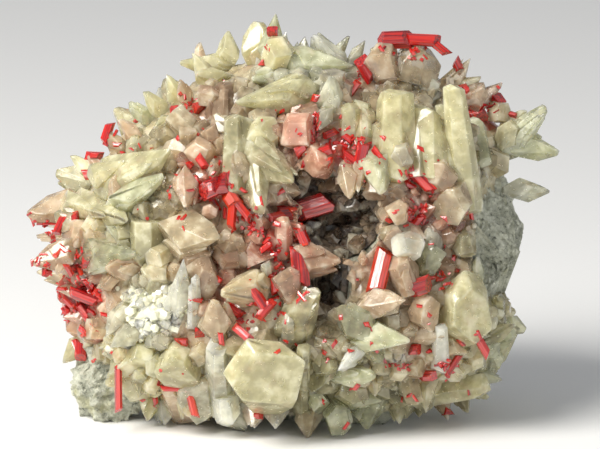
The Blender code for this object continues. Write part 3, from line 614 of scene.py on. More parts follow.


# %% [markdown]
# ## Tints
# The calcite is cream to pale green where it is thick, near white where it is finely grained, peach to rose
# where realgar lies inside it, and tan to brown in the recesses, a darkening there that is partly painted
# shade. Each crystal carries one tint as an attribute of its mesh. The fine crystals take theirs from where
# they sit: each wash is a soft round patch of tint at an x and h. Most are stains, and the umber and brown
# ones round the hollow are partly painted shade.

# %% Tints by name
CREAM, GREEN, OLIVE, PEACH = (0.80, 0.75, 0.46), (0.72, 0.73, 0.48), (0.58, 0.54, 0.33), (0.80, 0.61, 0.42)
TAN, BROWN, WHITE, ROSE = (0.65, 0.54, 0.36), (0.44, 0.31, 0.20), (0.90, 0.89, 0.73), (0.78, 0.42, 0.30)
GREY, UMBER, RUST = (0.69, 0.68, 0.52), (0.09, 0.06, 0.04), (0.55, 0.25, 0.17)
SCARLET = (0.66, 0.07, 0.05)
BLUSH, BLUSH_REACH = 0.36, 4.5
# Painted shade: the UMBER and BROWN washes round the hollow's mouth, between x 3 and 17 and h 30 and 53,
# darken the crust there partly as shade of the recess.
WASHES = [
    (5, 50, 60, TAN), (4, 78, 16, GREY), (-14, 66, 8, BROWN), (-20, 72, 7, TAN), (26, 75, 9, TAN),
    (8, 44, 19, BROWN), (-42, 30, 11, ROSE), (-43, 40, 7, PEACH), (-17, 56, 7, ROSE), (2, 62, 8, RUST),
    (-3, 40, 9, RUST),
    (29, 47, 10, RUST), (15, 60, 8, RUST), (-15, 33, 9, RUST), (-27, 14, 11, CREAM), (-28, 26, 9, WHITE),
    (-6, 5, 9, WHITE), (43, 20, 9, GREEN), (36, 7, 9, OLIVE), (8, 13, 9, OLIVE), (22, 10, 6, OLIVE),
    (28, 36, 9, TAN), (26, 27, 6, PEACH), (-30, 40, 8, OLIVE), (-38, 58, 9, PEACH), (7, 30, 6, UMBER),
    (17, 40, 6, BROWN), (3, 37, 5, BROWN), (11, 53, 5, BROWN), (-43, 29, 6, SCARLET),
    (-16, 51, 5, SCARLET), (10, 59, 5, SCARLET), (-1, 41, 4, SCARLET), (40, 66, 4, SCARLET),
]


def blushed(tint, point):
    """A tint made pinker where realgar is near."""
    near = red_tree.find_nearest(point)[3]
    return tint.lerp(Vector(ROSE), BLUSH * smooth(1 - near / BLUSH_REACH))


def tint_at(point, chance):
    """The tint of the fine crystals at a place, a little lighter or darker each time."""
    x, h = seen_at(point)
    tint = Vector(CREAM)
    for wash_x, wash_h, reach, colour in WASHES:
        tint = tint.lerp(Vector(colour), smooth(1.5 - 1.5 * math.hypot(x - wash_x, h - wash_h) / reach))
    return blushed(tint, point) * chance.uniform(0.85, 1.1)


def tints_at(points, chance):
    """The tints at many places, in one flat list."""
    return [channel for point in points for channel in (*tint_at(point, chance), 1.0)]


# %% [markdown]
# ## From crystals to pieces
# A crust of hundreds of crystals would be slow as hundreds of objects. Large crystals are joined by a
# boolean, so each is an object with its tint and clearness on its faces until then. Small ones are only
# laid into one mesh, called a heap here. Every finished piece rides on the specimen and is held inside the
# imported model's box.

# %% Gathering crystals into one mesh
def carry(data, name, kind, domain, values):
    """Puts an attribute on a mesh. Its values are one flat list."""
    key = {"FLOAT_COLOR": "color", "FLOAT_VECTOR": "vector", "FLOAT": "value"}[kind]
    data.attributes.new(name, kind, domain).data.foreach_set(key, values)


def crust_part(form, tint, clear):
    """An object made from one closed form, to be grown into the crust, with its tint and its clearness."""
    made = object_of(form, "crust_part")
    count = len(made.data.polygons)
    carry(made.data, "tint", "FLOAT_COLOR", "FACE", [*tint, 1.0] * count)
    carry(made.data, "clear", "FLOAT", "FACE", [clear] * count)
    return made


class Heap:
    """Many closed crystals gathered into one mesh. Each has a tint, and prisms have their points' strands."""

    def __init__(self):
        self.form = bmesh.new()
        self.tints = []
        self.strands = []

    def add(self, data, place, tint):
        """Takes in a mesh, put in a place, and removes the mesh."""
        data.transform(place)
        self.form.from_mesh(data)
        self.tints += [*tint, 1.0] * len(data.vertices)
        bpy.data.meshes.remove(data)


def as_piece(form, name, material, tints=None):
    """Makes a mesh in millimetres a finished piece that rides on the specimen and keeps within its box."""
    bmesh.ops.translate(form, vec=SHIFT, verts=form.verts)
    bmesh.ops.scale(form, vec=(MM, MM, MM), verts=form.verts)
    for vertex in form.verts:
        for axis in range(3):
            vertex.co[axis] = min(max(vertex.co[axis], cad_low[axis]), cad_high[axis])
    piece = object_of(form, name)
    data = piece.data
    data.validate()
    if tints:
        carry(data, "tint", "FLOAT_COLOR", "POINT", tints)
    data.materials.clear()
    data.materials.append(material)
    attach(piece, "root")
    data.calc_loop_triangles()
    print(name, "triangles:", len(data.loop_triangles))
    return piece


# %% [markdown]
# ## Calcite finishes
# Thick calcite is milky: light goes in, scatters and comes out some millimetres away, which subsurface
# scattering gives. Clear calcite lets one see into it. A real crystal is both in cloudy patches, so a milky
# and a glassy shader are mixed by veils of noise, with more glass where a crystal carries more clearness.
# Faint bumps and patches of roughness stand for finely etched faces.

# %% Milky and clear calcite
GLASS_IN_VEILS, GLASS_IN_CLEAR, LEAST_GLASS = 0.38, 0.40, 0.14


def calcite_finish(name, clearness, scatter=1.0):
    """Milky calcite that turns glassy in cloudy patches, more of it where the crystals are clear."""
    made = Finish(name)
    tint = made.carried("tint", "Color")
    veils = made.noise(3.4, 3.0, 0.55)
    cracks = made.noise(1.2, 3.0, 0.6)
    relief = made.noise(1.7, 3.0, 0.55)
    warm = made.band(made.noise(5.0, 3.0), 0.52, 0.70) * 0.35
    colour = made.mix(made.band(veils, 0.48, 0.72) * 0.45, made.mix(warm, tint, PEACH), WHITE)
    roughness = made.band(cracks, 0.46, 0.68) * 0.24 + 0.05
    normal = made.bump(relief, 0.09, 0.7)
    milky = {
        "Base Color": colour, "Roughness": roughness, "IOR": 1.58, "Normal": normal,
        "Subsurface Weight": scatter, "Subsurface Radius": (1.0, 0.97, 0.86), "Subsurface Scale": 3.0 * MM,
        "Coat Weight": 0.25, "Coat Roughness": 0.03,
    }
    glassy = {
        "Base Color": made.mix(0.45, tint, (0.98, 0.98, 0.93)), "Roughness": roughness, "IOR": 1.46,
        "Transmission Weight": 1.0, "Normal": normal,
    }
    share = made.band(veils, 0.72, 0.32) * GLASS_IN_VEILS + made.carried("clear", "Fac") * GLASS_IN_CLEAR
    return made.done_mixed(share + (clearness + LEAST_GLASS), milky, glassy)


calcite = calcite_finish("calcite", 0.0)
print("calcite finish:", calcite.name)

# %% [markdown]
# ## The large calcite crystals
# Each row is one crystal as it is seen in the picture: the x and h of its tip, those of its root, its
# width, how far the tip stands out from the crust, and its tint. A row that ends with GLASS is a clear
# crystal.

# %% Dogtooth crystals
GLASS = True
TEETH = [
    (-5.8, 88.0, -7.0, 77.5, 6.0, 0, CREAM), (-2.8, 87.0, -4.0, 78.0, 4.5, 2, GREEN),
    (-12.5, 84.5, -12.5, 76.5, 4.6, 0, CREAM), (-18.8, 83.4, -18.2, 75.0, 2.8, 0, PEACH),
    (-23.6, 77.0, -13.5, 76.0, 4.5, 3, CREAM), (-20.0, 74.6, -13.5, 73.6, 3.2, 5, CREAM),
    (-8.6, 73.0, -3.2, 73.5, 3.4, 5, GREEN), (-12.0, 68.3, 3.5, 70.0, 7.0, 6, CREAM),
    (-15.5, 67.0, -12.0, 63.0, 3.6, 3, TAN), (-30.0, 72.0, -26.0, 67.0, 3.2, 1, CREAM),
    (-25.0, 75.2, -22.5, 69.5, 3.2, 1, CREAM), (-22.5, 74.0, -20.5, 69.0, 3.0, 3, PEACH),
    (-33.0, 69.5, -29.0, 65.5, 3.2, 1, GREEN), (4.0, 83.3, 9.6, 76.8, 3.8, 2, WHITE),
    (12.4, 82.8, 8.8, 77.8, 2.4, 2, GREY, GLASS), (15.2, 81.3, 12.5, 77.0, 2.6, 1, GREY, GLASS),
    (3.0, 82.0, 2.6, 76.5, 4.0, 1, GREY, GLASS), (12.8, 76.0, 0.5, 76.0, 7.0, 5, GREEN),
    (36.4, 77.8, 32.5, 72.0, 4.2, 0, CREAM, GLASS), (40.0, 74.2, 35.5, 74.0, 3.4, 2, GREEN, GLASS),
    (43.6, 73.2, 39.0, 69.5, 3.4, 1, TAN, GLASS),
    (53.5, 70.3, 44.0, 60.0, 5.6, 2, GREEN, GLASS), (55.3, 58.4, 44.5, 60.5, 6.2, 3, GREEN),
    (48.4, 68.3, 43.5, 63.5, 3.2, 0, OLIVE),
    (-48.8, 55.2, -41.0, 52.5, 6.2, 1, CREAM, GLASS), (-55.2, 45.4, -44.5, 47.8, 7.4, 4, PEACH),
    (-22.5, 59.5, -36.5, 51.7, 9.0, 8, CREAM), (-23.0, 55.0, -34.5, 48.2, 5.2, 6, GREEN),
    (-31.3, 44.9, -42.5, 47.6, 7.6, 8, CREAM), (-20.5, 46.7, -20.5, 54.0, 5.6, 7, PEACH),
    (-12.2, 42.5, -23.5, 42.5, 8.6, 9, TAN), (-52.2, 36.2, -44.5, 38.0, 6.0, 2, TAN),
    (-46.8, 33.7, -46.0, 39.7, 3.6, 3, PEACH), (-52.3, 34.7, -45.0, 33.8, 3.6, 0, TAN),
    (-29.8, 38.5, -39.5, 38.0, 6.2, 6, GREEN, GLASS), (-45.0, 59.0, -40.5, 54.5, 3.4, 0, CREAM),
    (-41.5, 59.0, -37.5, 54.5, 3.2, 0, PEACH), (-37.5, 63.7, -33.5, 58.5, 3.6, 0, CREAM),
    (-35.0, 66.0, -30.5, 61.5, 3.2, 0, PEACH), (-20.0, 79.7, -16.5, 73.5, 3.4, 0, CREAM),
    (-45.9, 25.5, -41.0, 26.0, 3.2, 0, ROSE), (-47.4, 31.3, -42.0, 30.8, 3.2, 0, PEACH),
    (-38.5, 21.0, -38.5, 16.8, 4.2, 3, CREAM),
    (-5.5, 41.7, -7.0, 62.0, 6.4, 9, OLIVE), (1.3, 52.3, -7.5, 57.8, 7.2, 8, OLIVE),
    (11.0, 36.9, 2.2, 37.0, 6.0, 4, BROWN), (11.8, 48.2, 11.8, 55.5, 4.6, 4, TAN),
    (18.5, 49.2, 17.0, 57.5, 6.2, 5, GREEN), (6.6, 33.5, -0.5, 22.5, 7.4, 7, CREAM, GLASS),
    (-14.7, 30.5, -5.5, 31.8, 7.0, 7, CREAM), (-21.0, 37.6, -22.0, 27.0, 5.4, 7, WHITE),
    (-15.0, 30.5, -14.5, 22.5, 6.2, 6, TAN), (27.5, 44.0, 27.8, 39.0, 4.6, 4, GREY),
    (23.2, 29.3, 15.5, 28.8, 6.2, 7, TAN),
    (46.2, 25.2, 38.5, 21.0, 4.2, 3, CREAM, GLASS), (36.2, 18.0, 31.0, 20.5, 3.2, 5, CREAM),
    (8.6, 29.0, 15.5, 22.2, 7.2, 6, GREEN, GLASS), (24.7, 21.0, 14.0, 22.6, 5.8, 8, GREEN),
    (9.0, 14.3, 13.8, 19.5, 3.4, 7, WHITE), (18.5, 15.7, 16.0, 20.5, 4.2, 5, GREEN, GLASS),
    (19.1, 14.5, 9.5, 13.9, 4.8, 8, GREEN), (18.7, 8.9, 10.5, 9.6, 4.4, 6, GREEN),
    (15.3, 2.6, 15.3, 9.0, 6.2, 4, GREEN, GLASS), (3.5, 1.0, 3.8, 7.5, 5.2, 4, TAN),
    (23.0, 11.1, 31.5, 10.3, 4.8, 6, CREAM), (41.6, 8.6, 36.0, 9.6, 3.2, 3, OLIVE),
    (43.4, 12.6, 38.5, 12.8, 4.2, 2, GREEN, GLASS), (36.5, 5.0, 36.5, 9.5, 4.2, 3, OLIVE),
    (-7.5, 3.4, -7.0, 8.0, 4.4, 4, WHITE), (-3.0, 3.0, -3.0, 8.0, 4.6, 4, WHITE),
    (-29.0, 3.9, -28.5, 9.0, 4.4, 3, CREAM), (-25.3, 3.6, -25.0, 9.0, 4.8, 4, WHITE),
    (-20.3, 5.0, -20.5, 10.0, 4.4, 4, CREAM), (32.0, 4.4, 32.0, 9.0, 3.8, 3, OLIVE),
    (26.0, 5.2, 26.2, 9.5, 3.8, 3, OLIVE), (22.0, 4.0, 21.5, 8.5, 3.8, 3, OLIVE),
]
print("dogtooth rows:", len(TEETH))

# %% Stout crystals
BLOCKS = [
    (-2.5, 81.8, -2.5, 74.5, 6.0, 3, CREAM), (-13.0, 73.0, -13.5, 65.0, 4.4, 2, BROWN),
    (18.6, 80.6, 18.6, 72.5, 6.4, 2, TAN, GLASS), (25.6, 80.6, 25.6, 71.5, 9.0, 2, TAN, GLASS),
    (27.7, 72.6, 27.3, 71.2, 5.4, 7, GREY, GLASS), (21.0, 71.8, 20.8, 57.5, 8.2, 6, CREAM),
    (27.6, 68.2, 27.4, 56.5, 6.2, 4, CREAM), (32.4, 72.4, 35.2, 49.5, 6.8, 7, CREAM),
    (38.8, 70.8, 38.5, 69.8, 4.8, 5, TAN, GLASS), (44.5, 65.0, 44.3, 59.5, 5.2, 3, OLIVE),
    (-17.5, 61.0, -17.8, 56.0, 6.2, 4, PEACH), (-10.5, 66.5, -10.5, 53.5, 7.2, 4, OLIVE),
    (-5.5, 66.0, -5.5, 58.0, 5.8, 5, CREAM), (1.5, 66.5, 1.2, 59.0, 6.8, 4, ROSE),
    (-28.5, 45.5, -28.5, 35.5, 7.4, 2, OLIVE), (22.2, 60.0, 22.2, 55.0, 4.8, 5, GREY),
    (21.3, 47.3, 21.6, 46.2, 4.2, 5, PEACH), (29.5, 57.0, 29.5, 50.5, 6.8, 3, TAN),
    (32.5, 52.5, 32.5, 44.5, 7.2, 4, TAN), (0.0, 36.0, 0.0, 28.0, 5.2, 4, PEACH, GLASS),
    (-1.3, 46.0, -1.3, 39.5, 3.8, 4, ROSE), (-16.8, 37.5, -16.8, 29.0, 5.6, 3, BROWN),
    (23.0, 40.8, 22.8, 39.6, 5.8, 6, WHITE), (27.5, 40.5, 27.5, 34.0, 5.2, 3, GREEN, GLASS),
    (35.0, 42.5, 35.0, 37.5, 4.2, 3, GREEN, GLASS), (22.5, 38.5, 22.5, 30.5, 5.2, 4, TAN),
    (34.5, 34.5, 34.5, 20.0, 9.6, 6, CREAM), (30.0, 24.5, 30.0, 16.5, 3.6, 4, WHITE),
    (26.5, 30.0, 26.5, 24.0, 5.6, 4, PEACH), (-6.0, 20.6, -5.2, 6.8, 11.0, 8, CREAM),
    (-14.3, 20.5, -14.0, 9.5, 6.2, 4, WHITE), (2.8, 20.8, 2.5, 7.5, 4.8, 5, OLIVE),
    (5.5, 9.4, 5.5, 8.6, 4.0, 5, GREEN), (9.5, 1.4, 9.0, 9.5, 4.8, 4, GREEN, GLASS),
    (40.2, 12.2, 28.0, 10.6, 6.2, 5, CREAM), (-12.5, 4.2, -12.5, 10.5, 5.2, 3, WHITE),
    (-16.8, 13.5, -16.8, 6.5, 4.6, 3, GREY), (-29.0, 20.5, -29.0, 10.5, 7.2, 4, CREAM),
    (-22.0, 20.5, -22.5, 11.5, 6.8, 4, CREAM), (-23.5, 11.5, -23.5, 6.5, 4.6, 4, PEACH),
    (42.6, 69.0, 40.8, 64.6, 4.4, 1, GREEN),
]
print("stout rows:", len(BLOCKS))

# %% [markdown]
# The model's own crystals have the rows above, in the same order. Some smaller crystals are seen clearly
# too, in gaps between those, at the crest and in the hollow's rim. They have rows of their own, and are
# only in the scene.

# %% Smaller crystals that are seen clearly
SMALL_TEETH = [
    (-0.9, 83.4, -1.2, 78.5, 2.0, 2, GREY), (10.5, 12.9, 10.5, 8.0, 1.2, 6, WHITE),
    (-53.0, 41.7, -48.0, 41.9, 2.0, 1, PEACH),
    (-26.0, 72.9, -26.8, 68.0, 1.8, 2, WHITE), (37.4, 38.5, 37.4, 33.5, 2.6, 3, GREEN),
    (-15.0, 58.0, -15.0, 54.0, 2.6, 5, PEACH), (-38.6, 31.5, -35.5, 33.0, 3.4, 4, PEACH),
    (-36.8, 44.0, -32.5, 41.5, 3.4, 5, GREEN), (-26.5, 35.0, -27.0, 30.5, 3.0, 4, OLIVE),
    (5.8, 62.8, 7.5, 66.5, 3.4, 4, GREY), (-27.8, 62.5, -24.5, 64.5, 3.4, 4, CREAM),
]
SMALL_BLOCKS = [
    (-4.5, 36.8, -4.5, 33.8, 2.4, 5, GREY), (-0.2, 26.0, -0.2, 21.0, 3.4, 7, GREY),
    (41.7, 30.0, 41.7, 24.5, 3.6, 2, OLIVE),
    (-18.7, 34.5, -18.7, 25.5, 3.2, 5, WHITE), (45.6, 24.0, 43.6, 17.0, 3.2, 1, CREAM),
    (12.0, 68.5, 12.0, 64.0, 4.2, 4, CREAM), (15.5, 68.0, 15.5, 63.0, 3.8, 4, GREEN),
    (18.0, 64.5, 17.6, 59.5, 3.6, 4, CREAM), (-31.5, 57.5, -31.0, 61.5, 3.6, 4, CREAM),
    (25.2, 68.5, 25.2, 56.0, 5.6, 3, CREAM), (30.4, 69.0, 31.6, 55.0, 5.2, 4, CREAM),
    (14.2, 69.5, 14.6, 61.0, 4.6, 3, CREAM), (37.0, 66.0, 38.0, 58.5, 4.4, 3, GREEN),
    (17.6, 46.0, 21.5, 46.5, 3.4, 2, PEACH), (17.9, 42.3, 22.0, 43.0, 3.2, 2, TAN),
    (18.2, 50.5, 21.5, 51.5, 3.0, 2, PEACH),
    (3.2, 43.0, -0.5, 43.5, 3.0, 2, ROSE), (3.6, 38.8, -0.2, 39.5, 3.0, 2, BROWN),
]
print("smaller rows:", len(SMALL_TEETH) + len(SMALL_BLOCKS))

# %% [markdown]
# Between those, crystals of half their size fill the crust all the way round, at places spread evenly over
# a sphere, as the model's do. The hollow is the room of three rounded chambers, and nothing grows from
# inside its mouth. Nothing grows on bare rock either: at the right, at the back, underneath and at the
# lower left corner.

# %% The hollow, the bare rock and the white zone
CHAMBERS = [  # x, h, half of the width, of the height and of the depth, and how far inward the middle is
    (10.0, 45.0, 8.8, 8.2, 9.0, 3.0), (7.4, 33.5, 4.8, 7.5, 7.5, 4.0), (4.6, 51.2, 5.0, 4.6, 7.0, 3.0),
]
BARE_FROM_X, BARE_FROM_H, BARE_TO_H = 37, 29, 61
BARE_DEEPER_THAN, BARE_BELOW_Z, BARE_FROM_Y = 9, 3, -24
BARE_CORNER, BARE_CORNER_REACH = (-42, 8.5), 5.5
WHITE_X, WHITE_H, WHITE_HALVES = -27, 27, (9.5, 8.5)


def chamber_share(point):
    """Above 0 where a point is seen inside the hollow's mouth."""
    x, h = seen_at(point)
    if point.y > 0:
        return 0
    shares = []
    for middle_x, middle_h, half_width, half_height, _, _ in CHAMBERS:
        shares.append(1 - math.hypot((x - middle_x) / half_width, (h - middle_h) / half_height))
    return max(shares)


def bareness(point):
    """How free of crust the rock is there: 0 covered, 1 bare."""
    x, h = seen_at(point)
    right = smooth((x - BARE_FROM_X) / 3) * smooth((BARE_TO_H - h) / 3) * smooth((h - BARE_FROM_H) / 3)
    behind = smooth(((point - MIDDLE).dot(SIGHT) - BARE_DEEPER_THAN) / 6)
    under = smooth((BARE_BELOW_Z - point.z) / 2) * smooth((point.y - BARE_FROM_Y) / 5)
    corner = smooth(2 - math.hypot(x - BARE_CORNER[0], h - BARE_CORNER[1]) / BARE_CORNER_REACH)
    return max(right, behind, under, corner)


def in_white_zone(point):
    """How far a place lies inside the white, finely grained zone at the left of the front."""
    x, h = seen_at(point)
    off_middle = math.hypot((x - WHITE_X) / WHITE_HALVES[0], (h - WHITE_H) / WHITE_HALVES[1])
    return smooth(1.6 - 1.6 * off_middle) if point.y < 0 else 0


print("bareness at the lower left:", round(bareness(sight_point(-40, 8.5)), 2))

# %% Places for the filling crystals
FILL_PLACES = 130
FILL_LENGTH = (5.5, 8.0)
FILL_WIDTH = (4.2, 6.4)
FILL_APART = 7.8


def spread_directions(places):
    """Directions spread evenly over a sphere."""
    golden = math.pi * (3 - math.sqrt(5))
    for number in range(places):
        height = 1 - 2 * (number + 0.5) / places
        ring = math.sqrt(1 - height * height)
        yield Vector((ring * math.cos(golden * number), ring * math.sin(golden * number), height))


def fill_rows(tree, taken, chance):
    """Roots, tips and widths of the crystals between the others."""
    rows = []
    for direction in spread_directions(FILL_PLACES):
        hit, normal, _, _ = tree.ray_cast(MIDDLE, direction)
        length = chance.uniform(*FILL_LENGTH)
        width = chance.uniform(*FILL_WIDTH)
        sway = Vector((chance.uniform(-1, 1), chance.uniform(-1, 1), chance.uniform(-1, 1))) * 0.45
        outward = normal if normal.dot(direction) > 0 else -normal
        tip = hit + (outward + sway).normalized() * length
        if bareness(hit) > 0.25 or tip.z < 3 or chamber_share(hit) > 0:
            continue
        if all((tip - other).length > FILL_APART for other in taken):
            rows.append((hit - outward * 0.6, tip, width))
            taken.append(tip)
    return rows


# %% [markdown]
# Two streams of random numbers keep the model's shapes and the scene's own additions apart. The first
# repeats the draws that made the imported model, so each large crystal has the model's faces before it is
# dressed.

# %% Grow the large crystals
SMOOTH_BLOCK = 5.5

chance = random.Random(7)
looks = random.Random(21)
parts = []
tips = []


def grow(root, tip, width, faces_of, random_shape, tint, clear):
    """Grows one large crystal with its side growths. Stout ones have few or none."""
    crystal = dressed(calcite_form(root, tip, width, faces_of, random_shape), width, looks)
    count = looks.choice((2, 3, 4))
    if faces_of is not tooth_faces:
        count = 0 if width > SMOOTH_BLOCK else 1
    for growth in side_growths(crystal, root, tip, width, count, looks):
        parts.append(crust_part(growth, tint * looks.uniform(0.95, 1.05), clear))
    parts.append(crust_part(crystal, tint, clear))


for row in TEETH + BLOCKS:
    root, tip = planted(ground, row)
    tips.append(tip)
    is_long = math.hypot(row[0] - row[2], row[1] - row[3]) > LONG_BLOCK * row[4]
    faces_of = tooth_faces if row in TEETH else block_faces if is_long else chunk_faces
    clear = 0.8 if row[7:] else looks.uniform(0.0, 0.4)
    tint = blushed(Vector(row[6]) * looks.uniform(0.92, 1.06), root.lerp(tip, 0.5))
    grow(root, tip, row[4], faces_of, random.Random(chance.random()), tint, clear)
for root, tip, width in fill_rows(ground, tips, chance):
    grow(root, tip, width, tooth_faces, chance, tint_at(tip, looks), looks.uniform(0, 0.8))
for row in SMALL_TEETH + SMALL_BLOCKS:
    root, tip = planted(ground, row)
    faces_of = tooth_faces if row in SMALL_TEETH else block_faces
    grow(root, tip, row[4], faces_of, looks, Vector(row[6]), 0.5)
large_tree = merged_tree([part.data for part in parts])
print("large crystals and side growths:", len(parts))

# %% [markdown]
# ## The crystal on the bare rock
# One clear crystal stands by itself at the right. It replaces the model's own, so its place is the same. It
# gets the same calcite finish with more glass in it.

# %% The lone crystal
LONE = (53.1, 51.0, 47.6, 51.6, 4.2, 3)
lone_form = dressed(calcite_form(*planted(ground, LONE), LONE[4], tooth_faces, looks), LONE[4], looks)
lone_tints = [*GREY, 1.0] * len(lone_form.verts)
clear_calcite = calcite_finish("clear_calcite", 0.3)
spur = as_piece(lone_form, "calcite_lone_crystal", clear_calcite, lone_tints)
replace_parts(spur, "calcite_spur")

# %% [markdown]
# ## Realgar
# Realgar is a soft, glassy red mineral in short prisms whose sides are striped lengthwise. The stripes are
# real steps, so the prism is divided by cuts along its length, and each line is drawn in by its own small
# amount. Finer stripes come from noise that each point reads at its place across its own prism, and hardly
# along it. The high gloss comes from a high index of refraction, and the glow from red scattering under the
# surface.

# %% Realgar finish
def red_realgar():
    made = Finish("red_realgar")
    strand = made.carried("strand", "Vector")
    stripes = made.noise(0.42, 2.0, 0.5, strand)
    fine_stripes = made.noise(0.12, 2.0, 0.5, strand)
    clouds = made.noise(1.6, 3.0)
    tint = made.carried("tint", "Color")
    # Painted light and shade: the stripes are painted brighter scarlet in some bands and near black in
    # others, partly for the light and shade that the striations catch.
    colour = made.mix(made.band(stripes, 0.44, 0.62) * 0.55, tint, (0.80, 0.035, 0.016))
    colour = made.mix(made.band(stripes, 0.48, 0.34) * 0.8, colour, (0.13, 0.001, 0.005))
    colour = made.mix(made.band(clouds, 0.54, 0.74) * 0.35, colour, (0.72, 0.03, 0.012))
    return made.done({
        "Base Color": colour, "Roughness": made.band(clouds, 0.4, 0.8) * 0.10 + 0.04, "IOR": 2.0,
        "Subsurface Weight": 0.12, "Subsurface Radius": (1.0, 0.10, 0.06), "Subsurface Scale": 0.8 * MM,
        "Transmission Weight": 0.15, "Normal": made.bump(stripes + fine_stripes * 0.4, 0.12, 0.9),
    })


red = red_realgar()
print("realgar finish:", red.name)

# %% Shapes of realgar
STOUT_REALGAR = 2.1
FLUTE = 0.05
STRIPES_PER_MM = 7.3
ALONG_STRAND = 0.03


def prism_faces(length, width, chance):
    """A realgar prism: a flattened ring of sides, more of them on a wide one, and slanting ends."""
    if width > STOUT_REALGAR:
        sides = ((0, 1.0), (48, 0.94), (90, 0.84), (134, 0.95), (184, 1.0), (232, 0.9), (305, 0.86))
    else:
        sides = ((8, 1.0), (66, 0.9), (118, 0.9), (180, 1.0), (270, 0.8))
    faces = []
    for azimuth, share in sides:
        faces.append(face_plane(azimuth, 0, 0.5 * width * share * chance.uniform(0.94, 1.0)))
    for end in (1, -1):
        azimuth = chance.uniform(30, 150)
        steep = chance.uniform(46, 62)
        rise = 0.5 * length * math.sin(math.radians(steep))
        faces.append(face_plane(azimuth, end * steep, rise - 0.5 * width * math.cos(math.radians(steep))))
        if width > STOUT_REALGAR:
            faces.append(face_plane(azimuth + 170, end * steep, 0.96 * rise))
    return faces


def fluted_prism(length, width, chance):
    """A realgar prism with stripes along its sides, with its middle at the origin."""
    prism = crystal_form(prism_faces(length, width, chance), length + width)
    cuts = 2 + round(1.3 * width)
    for turn in (0.2, 1.8):
        direction = Vector((math.cos(turn), math.sin(turn), 0))
        for number in range(cuts):
            offset = width * (0.84 * (number + chance.uniform(0.25, 0.75)) / cuts - 0.42)
            plane = {"plane_co": direction * offset, "plane_no": direction}
            bmesh.ops.bisect_plane(prism, geom=everything_in(prism), dist=1e-4, **plane)
    seed = Vector((chance.uniform(0, 50), chance.uniform(0, 50), 0))
    for vertex in prism.verts:
        stripe = noise.noise(Vector((vertex.co.x, vertex.co.y, 0)) * STRIPES_PER_MM + seed)
        drawn = 1 - FLUTE * (1 + stripe)
        vertex.co.x *= drawn
        vertex.co.y *= drawn
    bmesh.ops.recalc_face_normals(prism, faces=prism.faces)
    return prism


# %% [markdown]
# Each list below is one piece of the model: a single prism or a group that grew through each other. A row
# is the x and h of one end, those of the other end, and the width. How deep a prism lies is read off the
# model's own.

